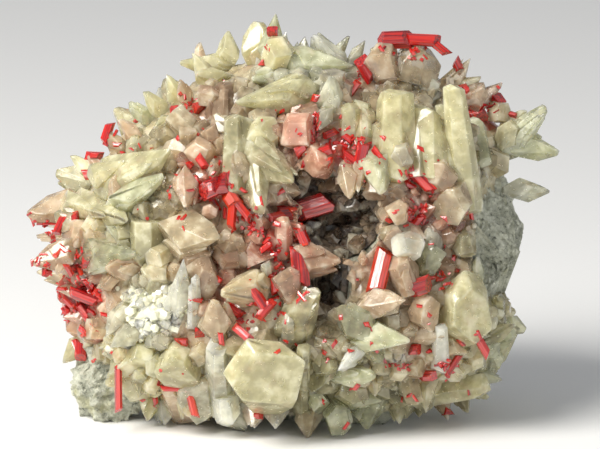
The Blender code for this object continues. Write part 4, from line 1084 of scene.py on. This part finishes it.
# %% The realgar rows
REALGAR = {
    "centre": [
        [(-1.0, 46.0, 9.4, 49.2, 4.4), (-4.8, 45.9, 2.6, 46.9, 3.8)],
        [(2.5, 31.0, 1.5, 40.9, 3.6), (1.2, 44.6, 4.6, 36.9, 2.0)],
    ],
    "right": [
        [(19.3, 40.2, 16.7, 29.6, 3.8)], [(21.6, 30.4, 28.9, 33.0, 3.8)], [(23.3, 56.0, 28.9, 50.3, 2.4)],
        [(23.2, 49.4, 24.6, 47.8, 1.5)], [(26.6, 46.4, 24.1, 43.4, 1.4)], [(32.0, 38.7, 32.0, 35.7, 2.4)],
        [(37.2, 22.0, 39.8, 17.6, 1.8)], [(34.0, 18.5, 31.1, 14.1, 1.2)],
    ],
    "crest": [
        [(17.0, 81.0, 25.8, 81.4, 3.8), (22.4, 81.3, 30.8, 80.9, 2.6), (28.0, 81.2, 31.9, 78.0, 1.8)],
        [(13.6, 78.4, 17.1, 72.0, 3.3)], [(13.9, 73.2, 11.7, 70.0, 1.5)], [(34.2, 72.7, 36.4, 69.8, 1.6)],
        [(36.0, 69.2, 39.3, 63.8, 3.6)], [(40.2, 68.2, 43.4, 70.6, 3.2)], [(32.9, 77.6, 34.4, 74.4, 1.8)],
        [(-3.5, 84.2, -3.5, 81.2, 2.4)], [(-8.4, 77.9, -6.0, 78.1, 1.3)], [(4.0, 69.5, 6.6, 69.1, 1.6)],
        [(-18.4, 69.4, -17.6, 65.8, 2.8)], [(-23.3, 68.3, -23.1, 65.7, 1.6)],
    ],
    "upper": [
        [(15.2, 62.3, 13.6, 54.0, 3.2), (10.0, 58.6, 14.4, 55.4, 2.0), (13.5, 57.0, 12.9, 51.4, 2.6)],
        [(5.4, 58.2, 8.8, 59.5, 2.0)], [(0.6, 57.7, 4.0, 60.8, 2.4)], [(6.5, 61.6, 9.5, 63.0, 1.4)],
        [(13.5, 65.7, 16.1, 65.5, 1.4)],
    ],
    "left": [
        [
            (-15.8, 52.2, -10.0, 52.8, 4.8), (-13.2, 55.6, -10.8, 51.2, 2.6), (-18.6, 50.0, -12.4, 52.8, 3.8),
            (-13.4, 52.2, -10.0, 47.0, 3.4), (-11.2, 50.4, -11.8, 43.0, 1.6), (-11.6, 50.0, -7.6, 45.0, 1.7),
        ],
        [(-18.6, 58.3, -16.4, 55.1, 1.7)], [(-36.0, 64.9, -37.6, 60.2, 1.7), (-37.7, 60.8, -34.0, 59.9, 1.3)],
        [(-41.4, 58.0, -37.4, 57.8, 1.7)], [(-42.2, 54.2, -37.9, 54.2, 2.3)],
        [(-43.3, 47.2, -43.3, 43.9, 1.9)], [(-45.1, 46.5, -47.1, 42.0, 1.6)],
        [(-48.6, 35.9, -48.6, 33.3, 2.2)], [(-40.2, 39.2, -40.2, 34.8, 2.6)],
        [(-44.7, 31.1, -37.9, 28.4, 2.3), (-39.7, 31.7, -37.2, 28.0, 1.6)], [(-42.2, 21.7, -42.2, 16.0, 2.5)],
        [(-40.8, 23.8, -37.8, 21.4, 1.6)],
    ],
    "foot": [
        [(-34.3, 16.4, -34.2, 6.5, 1.4)], [(-20.4, 11.7, -18.8, 5.5, 1.5), (-26.1, 11.5, -19.8, 11.4, 1.2)],
        [(-12.9, 28.5, -9.2, 25.9, 1.9)], [(-11.4, 24.4, -7.4, 21.0, 1.7)],
        [(-8.4, 33.1, -4.3, 26.7, 1.9), (-3.1, 29.4, -6.5, 25.4, 1.7)], [(-8.1, 6.2, -5.2, 6.2, 1.8)],
        [(23.0, 19.2, 26.5, 19.4, 2.3)], [(25.0, 14.0, 29.6, 14.0, 2.3)], [(30.4, 6.6, 33.0, 6.8, 1.8)],
        [(-18.0, 24.4, -18.0, 21.5, 2.0)], [(-22.8, 20.7, -19.9, 20.7, 1.6)],
    ],
}
print("realgar pieces:", sum(len(pieces) for pieces in REALGAR.values()))

# %% Grow the realgar
def depths_of_ends(points, row):
    """How deep the model's own prism lies at the start and at the end of a row."""
    start = Vector(row[:2])
    run = Vector(row[2:4]) - start
    near, far = [], []
    for point in points:
        share = (Vector(seen_at(point)) - start).dot(run) / run.length_squared
        (near if share < 0.5 else far).append(point.dot(SIGHT))
    return sum(near) / len(near), sum(far) / len(far)


def red_tint(width, chance):
    """Thick crystals are a deep crimson, thin ones scarlet, and a few orange."""
    deep = Vector((0.27, 0.002, 0.007)).lerp(Vector((0.58, 0.007, 0.006)), smooth((4.4 - width) / 3.2))
    return deep.lerp(Vector((0.80, 0.07, 0.012)), chance.uniform(0.2, 0.8) if chance.random() < 0.12 else 0)


def add_prism(heap, start, end, width, chance):
    """Adds a prism between two points to a heap. Each point keeps where it lies across its own prism."""
    prism = fluted_prism((end - start).length, width, chance)
    offset = Vector((chance.uniform(0, 90), 0, 0))
    for vertex in prism.verts:
        across = Vector((vertex.co.x, vertex.co.y, ALONG_STRAND * vertex.co.z))
        heap.strands.extend((across + offset) * MM)
    place = along_axis((start + end) / 2, end - start, -SIGHT, chance.uniform(-0.4, 0.4))
    heap.add(mesh_of(prism, "prism"), place, red_tint(width, chance))
    prism.free()


def realgar_piece(heap, name):
    """Makes a heap of prisms a finished piece."""
    piece = as_piece(heap.form, name, red, heap.tints)
    carry(piece.data, "strand", "FLOAT_VECTOR", "POINT", heap.strands)
    return piece


for region, pieces in REALGAR.items():
    red_heap = Heap()
    names = [f"realgar_{region}_{number}" for number in range(1, len(pieces) + 1)]
    for name, rows in zip(names, pieces):
        points = [vertex.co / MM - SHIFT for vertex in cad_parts[name].data.vertices]
        for row in rows:
            start_depth, end_depth = depths_of_ends(points, row)
            if len(rows) > 1:
                start_depth = end_depth = sum(point.dot(SIGHT) for point in points) / len(points)
            start = sight_point(row[0], row[1], start_depth)
            end = sight_point(row[2], row[3], end_depth)
            add_prism(red_heap, start, end, row[4], looks)
    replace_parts(realgar_piece(red_heap, f"realgar_prisms_{region}"), *names)

# %% [markdown]
# ## The crust between the crystals
# Under and between the large crystals the crust is a ground of fine crystals. The lump gets the hollow cut
# out of it by a boolean, is divided into small faces and is roughened by noise. Noise in the material would
# leave its outline smooth. Where the ground would cover a realgar prism, it is moved back behind that
# prism's face.

# %% The hollow's chambers, and joining and cutting
CHAMBER_WAVE, CHAMBER_RELIEF = 5, 0.14


def chamber_forms():
    """The hollow's chambers as meshes."""
    for x, h, half_width, half_height, half_depth, inward in CHAMBERS:
        form = bmesh.new()
        bmesh.ops.create_icosphere(form, subdivisions=2, radius=1)
        bmesh.ops.scale(form, vec=(half_width, half_depth, half_height), verts=form.verts)
        for vertex in form.verts:
            vertex.co *= 1 + CHAMBER_RELIEF * noise.noise(vertex.co / CHAMBER_WAVE + Vector((x, h, 0)))
        turned = Matrix((Vector((1, 0, 0)), SIGHT, UP)).transposed().to_4x4()
        place = Matrix.Translation(sight_point(x, h, depth_seen(ground, x, h) + inward)) @ turned
        bmesh.ops.transform(form, matrix=place, verts=form.verts)
        yield form


def combined(target, others, operation):
    """An object with the others cut from it or joined to it, as a bmesh. All the objects are removed."""
    tools = bpy.data.collections.new("tools")
    for other in others:
        tools.objects.link(other)
    modifier = target.modifiers.new("combine", "BOOLEAN")
    modifier.operation, modifier.operand_type, modifier.solver = operation, "COLLECTION", "MANIFOLD"
    modifier.collection = tools
    result = bpy.data.meshes.new_from_object(target.evaluated_get(bpy.context.evaluated_depsgraph_get()))
    for item in [target, *others]:
        bpy.data.objects.remove(item)
    bpy.data.collections.remove(tools)
    form = bmesh.new()
    form.from_mesh(result)
    return form


def rise_at(point, waves):
    """How far a rough surface rises at a point: the sum of some noises, each with its height and wave."""
    return sum(height * noise.noise(point / wave) for height, wave in waves)


def divide(form, longest, where):
    """Halves the edges that are longer than longest, where where(middle) says so, until none is left."""
    for _ in range(8):
        middles = ((edge, (edge.verts[0].co + edge.verts[1].co) / 2) for edge in form.edges)
        long = [edge for edge, middle in middles if edge.calc_length() > longest and where(middle)]
        if not long:
            break
        bmesh.ops.subdivide_edges(form, edges=long, cuts=1)
        bmesh.ops.triangulate(form, faces=[face for face in form.faces if len(face.verts) > 3])


bmesh.ops.triangulate(lump, faces=lump.faces)
hollows = [object_of(form, "chamber") for form in chamber_forms()]
crust = combined(object_of(lump, "crust"), hollows, "DIFFERENCE")
print("faces after the cut:", len(crust.faces))

# %% Divide and roughen the ground
GROUND_EDGE, WHITE_EDGE = 1.7, 0.9
GROUND_WAVES = [(0.9, 2.6), (0.6, 1.1)]
WHITE_WAVES = [(1.6, 4.5), (0.7, 0.9)]
WHITE_RISE, BARE_FALL = 2.6, 2.2
DEEPEST_REALGAR = 3.2
BEHIND_REALGAR = 0.5

divide(crust, GROUND_EDGE, lambda middle: bareness(middle) < 0.9)
divide(crust, WHITE_EDGE, lambda middle: in_white_zone(middle) > 0.1)
bmesh.ops.smooth_vert(crust, verts=crust.verts, factor=0.5, use_axis_x=True, use_axis_y=True, use_axis_z=True)
crust.normal_update()
for vertex in crust.verts:
    rise = rise_at(vertex.co, GROUND_WAVES)
    rise += in_white_zone(vertex.co) * (WHITE_RISE + rise_at(vertex.co, WHITE_WAVES))
    vertex.co += vertex.normal * (rise - 0.8 - BARE_FALL * bareness(vertex.co))
for vertex in crust.verts:
    hit, normal, _, near = red_tree.ray_cast(vertex.co, SIGHT)
    if hit is not None and near < DEEPEST_REALGAR and normal.dot(SIGHT) < 0:
        vertex.co += SIGHT * (near + BEHIND_REALGAR)
crust_data = mesh_of(crust, "crust_copy")
ground_part = crust_part(crust, WHITE, 0.0)
centres = [polygon.center.copy() for polygon in ground_part.data.polygons]
ground_part.data.attributes["tint"].data.foreach_set("color", tints_at(centres, looks))
ground_part.data.attributes["clear"].data.foreach_set("value", [-in_white_zone(centre) for centre in centres])
print("faces of the ground:", len(centres))

# %% [markdown]
# Clear crystals show the milky calcite that they grew on. An opaque copy of the ground, a little under its
# surface, stands for that. Without it one would look through the glassy parts into an empty crust.

# %% The milky ground seen through clear crystals
UNDER_SKIN = 0.7


def ground_finish():
    made = Finish("milky_ground")
    clouds = made.noise(2.5, 4.0, 0.6)
    colour = made.mix(made.band(clouds, 0.45, 0.70) * 0.5, made.carried("tint", "Color"), WHITE)
    return made.done({"Base Color": colour, "Roughness": 0.5})


under = bmesh.new()
under.from_mesh(crust_data)
under.normal_update()
for vertex in under.verts:
    vertex.co -= vertex.normal * UNDER_SKIN
under_tints = tints_at([vertex.co for vertex in under.verts], looks)
as_piece(under, "calcite_milky_ground", ground_finish(), under_tints)

# %% [markdown]
# Thousands of medium and small crystals stand on the ground. They are copies of a few patterns, turned and
# scaled, so that they cost little. A boolean joins the medium ones to the ground, and another the large ones
# to each other. The small ones only stand in the ground.

# %% Patterns of small crystals
ROOT_DEPTH = 0.7


def patterns(count, faces_of, length, chance):
    """Small crystal meshes one millimetre wide, cut off a little below where they stand."""
    made = []
    for _ in range(count):
        faces = faces_of(length * chance.uniform(0.8, 1.2), 1.0, chance) + [face_plane(0, -90, ROOT_DEPTH)]
        crystal = crystal_form(faces, 3 * length)
        bmesh.ops.recalc_face_normals(crystal, faces=crystal.faces)
        made.append(mesh_of(crystal, "pattern"))
        crystal.free()
    return made


def blunt_faces(length, width, chance):
    """A dogtooth crystal cut short by a low cap."""
    faces = tooth_faces(length, width, chance)
    height = chance.uniform(0.55, 0.8) * length
    return faces + [cap_face(corner, 50, height) for corner in CAP_CORNERS]


tooth_patterns = patterns(10, tooth_faces, 1.4, looks)
blunt_patterns = patterns(12, blunt_faces, 1.6, looks)
block_patterns = patterns(10, block_faces, 1.3, looks)
chunk_patterns = patterns(8, chunk_faces, 1.2, looks)
print("faces of a pattern:", len(tooth_patterns[0].polygons), len(chunk_patterns[0].polygons))

# %% Where small crystals may stand
ANY_FACING = Vector((0.3, 0.2, 1))
STRAY = 0.38


def inside_large(point, direction):
    """Whether a point lies inside one of the large crystals."""
    hit, normal, _, _ = large_tree.ray_cast(point, direction)
    return hit is not None and normal.dot(direction) > 0


def scattered(data, per_area, chance):
    """Random points of a mesh with their normals, so many for each square millimetre."""
    for polygon in data.polygons:
        due = polygon.area * per_area
        for _ in range(int(due) + (chance.random() < due % 1)):
            corners = [data.vertices[index].co for index in polygon.vertices[:3]]
            first, second = chance.random(), chance.random()
            if first + second > 1:
                first, second = 1 - first, 1 - second
            run, rise = first * (corners[1] - corners[0]), second * (corners[2] - corners[0])
            yield corners[0] + run + rise, polygon.normal


def plant(per_area, widths, chance):
    """Plants copies of the patterns over the ground: gives each one's pattern, placing matrix and foot."""
    kinds = (tooth_patterns, blunt_patterns, blunt_patterns, block_patterns, chunk_patterns)
    for point, normal in scattered(crust_data, per_area, chance):
        width = chance.uniform(*widths)
        axis = (normal + any_way(chance) * STRAY).normalized()
        tip = point + axis * 1.3 * width
        if bareness(tip) > 0.15 or tip.z < LOWEST_CRYSTAL + 0.5 * width or chamber_share(tip) > -0.2:
            continue
        if inside_large(point + normal * 0.3 * width, normal):
            continue
        if hides_realgar(tip, 0.3 * width) or hides_realgar(point, 0.5 * width):
            continue
        place = along_axis(point - axis * 0.4 * width, axis, ANY_FACING, chance.uniform(0, math.tau))
        yield chance.choice(chance.choice(kinds)), place @ Matrix.Scale(width, 4), point


print("patterns:", len(tooth_patterns + blunt_patterns + block_patterns + chunk_patterns))

# %% Medium crystals, and growing them together
MEDIUM_PER_MM2, MEDIUM_WIDTHS = 0.17, (2.8, 5.2)

medium_parts = []
for pattern, place, point in plant(MEDIUM_PER_MM2, MEDIUM_WIDTHS, looks):
    if in_white_zone(point) > 0.5:
        continue
    crystal = bmesh.new()
    crystal.from_mesh(pattern)
    bmesh.ops.transform(crystal, matrix=place, verts=crystal.verts)
    medium_parts.append(crust_part(crystal, tint_at(point, looks), looks.uniform(0, 0.9)))
print("medium crystals:", len(medium_parts))
crust_form = combined(ground_part, medium_parts, "UNION")
large_form = combined(parts[0], parts[1:], "UNION")
seen_meshes = [mesh_of(form, "seen") for form in (crust_form, large_form)]
crust_piece = as_piece(crust_form, "calcite_crust", calcite)
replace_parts(crust_piece, "calcite_druse")
as_piece(large_form, "calcite_large_crystals", calcite)

# %% Small crystals
SMALL_PER_MM2, SMALL_WIDTHS = 0.16, (1.1, 2.4)

small_heap = Heap()
for pattern, place, point in plant(SMALL_PER_MM2, SMALL_WIDTHS, looks):
    small_heap.add(pattern.copy(), place, tint_at(point, looks))
as_piece(small_heap.form, "calcite_small_crystals", calcite, small_heap.tints)

# %% [markdown]
# Left of the middle and low down, the crust is near white and finely grained, like coarse sugar. It gets
# many more crystals, all of them tiny. They are less clear than the rest, and less light scatters inside.

# %% The white, finely grained zone
WHITE_PER_MM2, WHITE_WIDTHS = 0.7, (0.7, 2.0)

white_heap = Heap()
for pattern, place, point in plant(WHITE_PER_MM2, WHITE_WIDTHS, looks):
    if looks.random() < in_white_zone(point):
        white_heap.add(pattern.copy(), place, Vector(WHITE).lerp(Vector(GREEN), looks.uniform(0.1, 0.5)))
white = calcite_finish("white_calcite", -0.35, 0.25)
as_piece(white_heap.form, "calcite_white_grains", white, white_heap.tints)

# %% [markdown]
# ## Small realgar
# Small red prisms and grains lie everywhere on the calcite, most of them on the left side and around the
# hollow. The larger of them have a row each: the x and h of both ends, and the width. The grains are
# scattered by patches, and each lies on whatever is seen there.

# %% Small realgar prisms
SMALL_REALGAR = [
    (43.3, 66.8, 46.0, 65.9, 1.1), (-6.6, 76.6, -4.6, 76.6, 1.3), (9.6, 65.8, 10.8, 65.6, 0.9),
    (5.6, 56.0, 8.8, 57.2, 1.3), (6.4, 57.6, 8.0, 55.6, 1.0), (18.0, 62.2, 19.2, 60.8, 1.0),
    (26.6, 56.6, 30.0, 56.9, 0.8), (36.0, 47.0, 36.4, 45.0, 0.9), (32.7, 35.2, 34.0, 34.8, 0.9),
    (12.0, 33.4, 14.0, 33.2, 0.6), (1.0, 28.4, 4.0, 31.2, 0.9), (1.4, 31.0, 3.4, 28.6, 0.8),
    (-20.5, 57.2, -19.2, 55.0, 1.5), (-10.0, 51.5, -8.3, 50.4, 0.8), (-12.8, 48.0, -13.0, 45.0, 1.0),
    (-23.0, 54.0, -18.0, 53.6, 0.6), (-22.8, 62.0, -21.8, 60.6, 0.9), (-22.3, 70.8, -21.5, 69.8, 0.8),
    (-35.8, 60.3, -33.8, 60.1, 0.9), (-31.8, 65.6, -30.6, 64.8, 0.9), (-31.3, 68.0, -29.2, 69.8, 0.8),
    (-45.2, 59.0, -41.6, 58.5, 1.1), (-54.0, 47.4, -49.6, 51.6, 1.0), (-51.2, 42.8, -51.4, 39.8, 1.0),
    (-47.0, 31.4, -44.5, 31.2, 0.8), (-38.2, 26.4, -36.2, 26.0, 0.8), (-42.6, 23.8, -40.6, 22.2, 1.1),
    (-44.0, 16.6, -41.0, 16.0, 1.5), (-40.4, 19.6, -40.0, 17.6, 1.0), (-36.0, 18.8, -33.5, 17.2, 0.6),
    (-37.4, 11.4, -35.2, 10.6, 1.5), (-32.6, 5.3, -30.7, 3.8, 1.3), (-27.2, 9.9, -26.8, 7.5, 1.1),
    (-19.9, 29.6, -17.1, 29.0, 1.0), (-13.8, 23.0, -13.4, 20.0, 1.1), (-7.2, 29.4, -6.0, 27.8, 1.2),
    (-3.4, 35.0, -3.0, 30.0, 1.3), (-14.8, 33.8, -13.2, 32.6, 1.1), (0.2, 5.2, -1.6, 3.3, 1.2),
    (1.6, 2.6, 2.4, 0.8, 1.2), (6.0, 9.4, 7.2, 8.4, 0.9), (6.2, 19.2, 7.4, 18.4, 0.9),
    (11.2, 19.2, 12.8, 18.8, 0.9), (13.9, 12.7, 12.6, 11.0, 1.0), (10.0, 26.6, 10.2, 25.0, 0.8),
    (14.8, 25.2, 15.6, 23.4, 1.2), (25.0, 28.1, 26.6, 27.9, 0.7), (27.0, 26.6, 28.2, 25.8, 0.9),
    (27.2, 19.3, 28.4, 18.3, 1.0), (33.6, 21.4, 35.0, 20.0, 1.2), (35.8, 11.3, 36.0, 9.7, 0.6),
    (-44.8, 28.0, -44.2, 24.4, 1.2), (-41.0, 27.6, -38.6, 26.0, 1.4), (-45.0, 36.6, -43.4, 33.8, 1.3),
    (-42.6, 36.0, -41.4, 33.2, 1.2), (-39.6, 24.6, -38.6, 22.4, 1.0), (-43.8, 21.4, -42.6, 18.6, 1.3),
    (-46.4, 40.0, -44.2, 38.4, 1.2), (16.2, 59.8, 18.4, 56.8, 1.3), (9.2, 60.4, 12.0, 59.2, 1.2),
    (-4.6, 45.4, -0.6, 46.4, 1.8), (-0.8, 46.2, 3.6, 47.6, 2.2), (-3.6, 44.6, -1.2, 44.0, 1.2),
    (-46.0, 30.2, -42.8, 27.0, 1.5), (-44.6, 34.2, -41.6, 31.6, 1.6), (-42.8, 28.8, -40.2, 24.8, 1.5),
    (-45.6, 23.0, -43.2, 20.4, 1.4), (-41.6, 33.6, -39.0, 31.0, 1.3), (-46.6, 27.2, -45.0, 24.0, 1.3),
    (-15.6, 49.6, -14.0, 46.6, 1.3), (-19.4, 53.4, -16.6, 51.0, 1.3), (10.4, 62.2, 12.6, 60.6, 1.3),
    (22.6, 52.6, 25.4, 51.2, 1.2), (30.2, 46.4, 32.4, 44.0, 1.2), (-2.8, 50.2, -0.6, 51.4, 1.1),
    (-6.2, 38.6, -3.6, 40.6, 1.2), (18.4, 45.8, 20.6, 44.4, 1.0), (24.8, 59.8, 27.0, 58.8, 0.9),
]


def on_surface(tree, x, h, near_depth, reach):
    """The place seen at x and h, kept within a reach of a depth along the line of sight."""
    depth = depth_seen(tree, x, h)
    depth = near_depth if depth is None else min(max(depth, near_depth - reach), near_depth + reach)
    return sight_point(x, h, depth)


crust_seen = merged_tree(seen_meshes)
small_red = Heap()
for x, h, far_x, far_h, width in SMALL_REALGAR:
    middle_depth = depth_seen(crust_seen, (x + far_x) / 2, (h + far_h) / 2)
    if middle_depth is None:
        continue
    reach = 0.35 * math.hypot(far_x - x, far_h - h)
    ends = [on_surface(crust_seen, *place, middle_depth, reach) for place in ((x, h), (far_x, far_h))]
    add_prism(small_red, *ends, width, looks)
realgar_piece(small_red, "realgar_small_prisms")

# %% Grains of realgar
PATCHES = [  # x, h, reach and four times the number of clusters
    (-42, 30, 10, 90), (-47, 42, 7, 26), (-16, 54, 9, 46), (-9, 47, 7, 34), (11, 59, 9, 60), (26, 50, 9, 46),
    (-6, 29, 9, 40), (29, 34, 8, 26), (2, 63, 9, 20), (-20, 66, 9, 22), (25, 77, 11, 26), (40, 68, 7, 24),
    (-38, 60, 9, 26), (-31, 8, 11, 20), (24, 16, 9, 20), (3, 76, 12, 16), (-3, 38, 7, 30), (-24, 45, 14, 20),
    (10, 13, 14, 20), (-12, 80, 10, 10), (35, 20, 10, 14), (-42, 16, 8, 20),
]
CLUSTER_SIZES = (1, 3, 7, 12)
PATCH_SPREAD, CLUSTER_SPREAD = 0.45, 0.95
GRAIN_LENGTH, GRAIN_WIDTH = (0.5, 2.3), (0.25, 0.85)
PROUD_CRYSTAL = 2.5
grains = Heap()


def add_grain(x, h):
    """Lays a grain on what is seen there: seldom a large crystal, never bare rock or the hollow."""
    hit = crust_seen.ray_cast(sight_point(x, h, RAY_START), SIGHT)
    under = depth_seen(ground, x, h)
    if hit[0] is None or chamber_share(hit[0]) > 0.1 or bareness(hit[0]) > 0.5:
        return
    if under is not None and hit[3] + RAY_START < under - PROUD_CRYSTAL and looks.random() < 0.8:
        return
    lean = any_way(looks).normalized()
    axis = (lean - 0.6 * hit[1] * lean.dot(hit[1])).normalized() * 0.5 * looks.uniform(*GRAIN_LENGTH)
    add_prism(grains, hit[0] - axis, hit[0] + axis, looks.uniform(*GRAIN_WIDTH), looks)


for x, h, reach, count in PATCHES:
    for _ in range(count // 4):
        cluster_x = x + looks.gauss(0, PATCH_SPREAD) * reach
        cluster_h = h + looks.gauss(0, PATCH_SPREAD) * reach
        for _ in range(looks.choice(CLUSTER_SIZES)):
            add_grain(cluster_x + looks.gauss(0, CLUSTER_SPREAD), cluster_h + looks.gauss(0, CLUSTER_SPREAD))
realgar_piece(grains, "realgar_grains")

# %% [markdown]
# ## The hollow
# The inside of the hollow is lined with small brown crystals, and their very dark brown is partly painted
# shade of the recess. The lining is a copy of the model's crust there, with small crystals planted over its
# inner side.

# %% Lining finish
def brown_lining():
    made = Finish("brown_lining")
    mottle = made.noise(1.6, 4.0, 0.65)
    # Painted shade: this near-black to dark brown is partly the shade of the hollow painted into the lining's
    # colour.
    colour = made.mix(made.band(mottle, 0.35, 0.7), (0.055, 0.040, 0.030), (0.26, 0.20, 0.14))
    return made.done({
        "Base Color": colour, "Roughness": made.band(mottle, 0.3, 0.8) * 0.3 + 0.22, "IOR": 1.6,
        "Subsurface Weight": 0.12, "Subsurface Radius": (1.0, 0.7, 0.4), "Subsurface Scale": 1.0 * MM,
        "Normal": made.bump(made.noise(0.4), 0.06),
    })


brown = brown_lining()
print("lining finish:", brown.name)

# %% The lining itself
LINING_EDGE = 1.6

lining = node_form("vug_crust")
divide(lining, LINING_EDGE, lambda middle: True)
lining.normal_update()
for vertex in lining.verts:
    vertex.co += vertex.normal * 0.25 * (noise.noise(vertex.co / 1.3) - 0.6)
lining_data = mesh_of(lining, "lining_copy")
lining_piece = as_piece(lining, "hollow_lining_crust", brown)
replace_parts(lining_piece, "vug_crust")

# %% Crystals of the lining
LINING_PER_MM2, LINING_WIDTHS = 0.13, (1.4, 3.2)
LINING_STRAY = 0.3
HOLLOW = (9.0, 44.0)

hollow_middle = sight_point(*HOLLOW, depth_seen(ground, *HOLLOW) + 3)
hollow_heap = Heap()
for point, normal in scattered(lining_data, LINING_PER_MM2, looks):
    if normal.dot(hollow_middle - point) < 0:
        continue
    width = looks.uniform(*LINING_WIDTHS)
    axis = (normal + any_way(looks) * LINING_STRAY).normalized()
    place = along_axis(point - axis * 0.5 * width, axis, ANY_FACING, looks.uniform(0, math.tau))
    # Painted shade: the hollow's crystals run from umber to brown, partly as shade of the recess painted into
    # their tint.
    brown_and_painted_shade = Vector(UMBER).lerp(Vector(BROWN), looks.random() ** 4)
    pattern = looks.choice(blunt_patterns + chunk_patterns)
    hollow_heap.add(pattern.copy(), place @ Matrix.Scale(width, 4), brown_and_painted_shade)
as_piece(hollow_heap.form, "hollow_crystals", calcite, hollow_heap.tints)

# %% [markdown]
# ## Host rock
# The rock is fine-grained and grey with a green cast, broken along rough faces. It shows at the right, at
# the lower left corner, at the back and underneath. A copy of the model's rock is divided where it is bare,
# most finely where the right side is seen close, and pushed in by ridged noise. Noise in the material alone
# would leave its edges straight.

# %% Rock finish
def grey_rock():
    made = Finish("grey_rock")
    patches = made.noise(7.0, 4.0, 0.6)
    grains = made.noise(1.1, 5.0, 0.75)
    colour = made.mix(made.band(patches, 0.35, 0.60), (0.34, 0.35, 0.27), (0.64, 0.65, 0.53))
    colour = made.mix(made.band(grains, 0.50, 0.66) * 0.7, colour, (0.84, 0.84, 0.73))
    colour = made.mix(made.band(grains, 0.46, 0.34) * 0.85, colour, (0.08, 0.09, 0.07))
    colour = made.mix(made.band(made.noise(9.0, 2.0), 0.58, 0.72) * 0.6, colour, (0.52, 0.50, 0.26))
    relief = made.noise(1.4, 6.0, 0.75)
    roughness = 0.9 - made.band(grains, 0.3, 0.7) * 0.25
    return made.done({"Base Color": colour, "Roughness": roughness, "Normal": made.bump(relief, 0.9)})


rock_finish = grey_rock()
print("rock finish:", rock_finish.name)

# %% The rock's broken faces
ROCK_EDGE, SIDE_EDGE = 1.5, 0.7
RIDGE_WAVE = 6.0


def on_right_side(point):
    """Whether a point is on the rock's right side, which is seen close."""
    return point.x > 34 and point.y < 8 and 26 < point.z < 66


rock = node_form("matrix")
divide(rock, ROCK_EDGE, lambda middle: bareness(middle) > 0.02)
divide(rock, SIDE_EDGE, on_right_side)
rock.normal_update()
for vertex in rock.verts:
    ridges = 0.5 - abs(noise.noise(vertex.co / RIDGE_WAVE))
    chips = 0.8 + rise_at(vertex.co, [(0.8, 2.4), (0.4, 1.1), (0.5, 0.7)])
    depth = smooth(2 * bareness(vertex.co)) * (ridges + chips)
    vertex.co -= vertex.normal * depth * (0.15 if vertex.co.z < 0.01 else 1)
    vertex.co.z = max(0.0, vertex.co.z)
rock_piece = as_piece(rock, "host_rock", rock_finish)
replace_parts(rock_piece, "matrix")

# %% [markdown]
# At the lower left the crust ends early, and a stub of the same rock stands out from under it. The model
# has no rock there, so a ball cut by five planes is divided, roughened and set into the crust's lower edge.

# %% The rock's lower left corner
CORNER = (-37.2, 11.8)
CORNER_SIZE = 8.4
CORNER_CUTS = [(215, -32, 5.6), (250, 20, 5.8), (190, 28, 6.2), (280, -25, 6.0), (160, -10, 6.4)]
CORNER_EDGE = 0.6
CORNER_WAVES = [(1.2, 3.2), (1.0, 1.4), (0.6, 0.7)]

corner = bmesh.new()
bmesh.ops.create_icosphere(corner, subdivisions=3, radius=CORNER_SIZE)
for azimuth, tilt, distance in CORNER_CUTS:
    outward, distance = face_plane(azimuth, tilt, distance)
    cut_by_plane(corner, outward * distance, outward)
bmesh.ops.triangulate(corner, faces=corner.faces)
divide(corner, CORNER_EDGE, lambda middle: True)
corner.normal_update()
corner_middle = sight_point(*CORNER, nearest_seen(ground, -36.0, 13.0)[2] + 5)
for vertex in corner.verts:
    vertex.co += vertex.normal * rise_at(vertex.co, CORNER_WAVES) + corner_middle
as_piece(corner, "host_rock_corner", rock_finish)
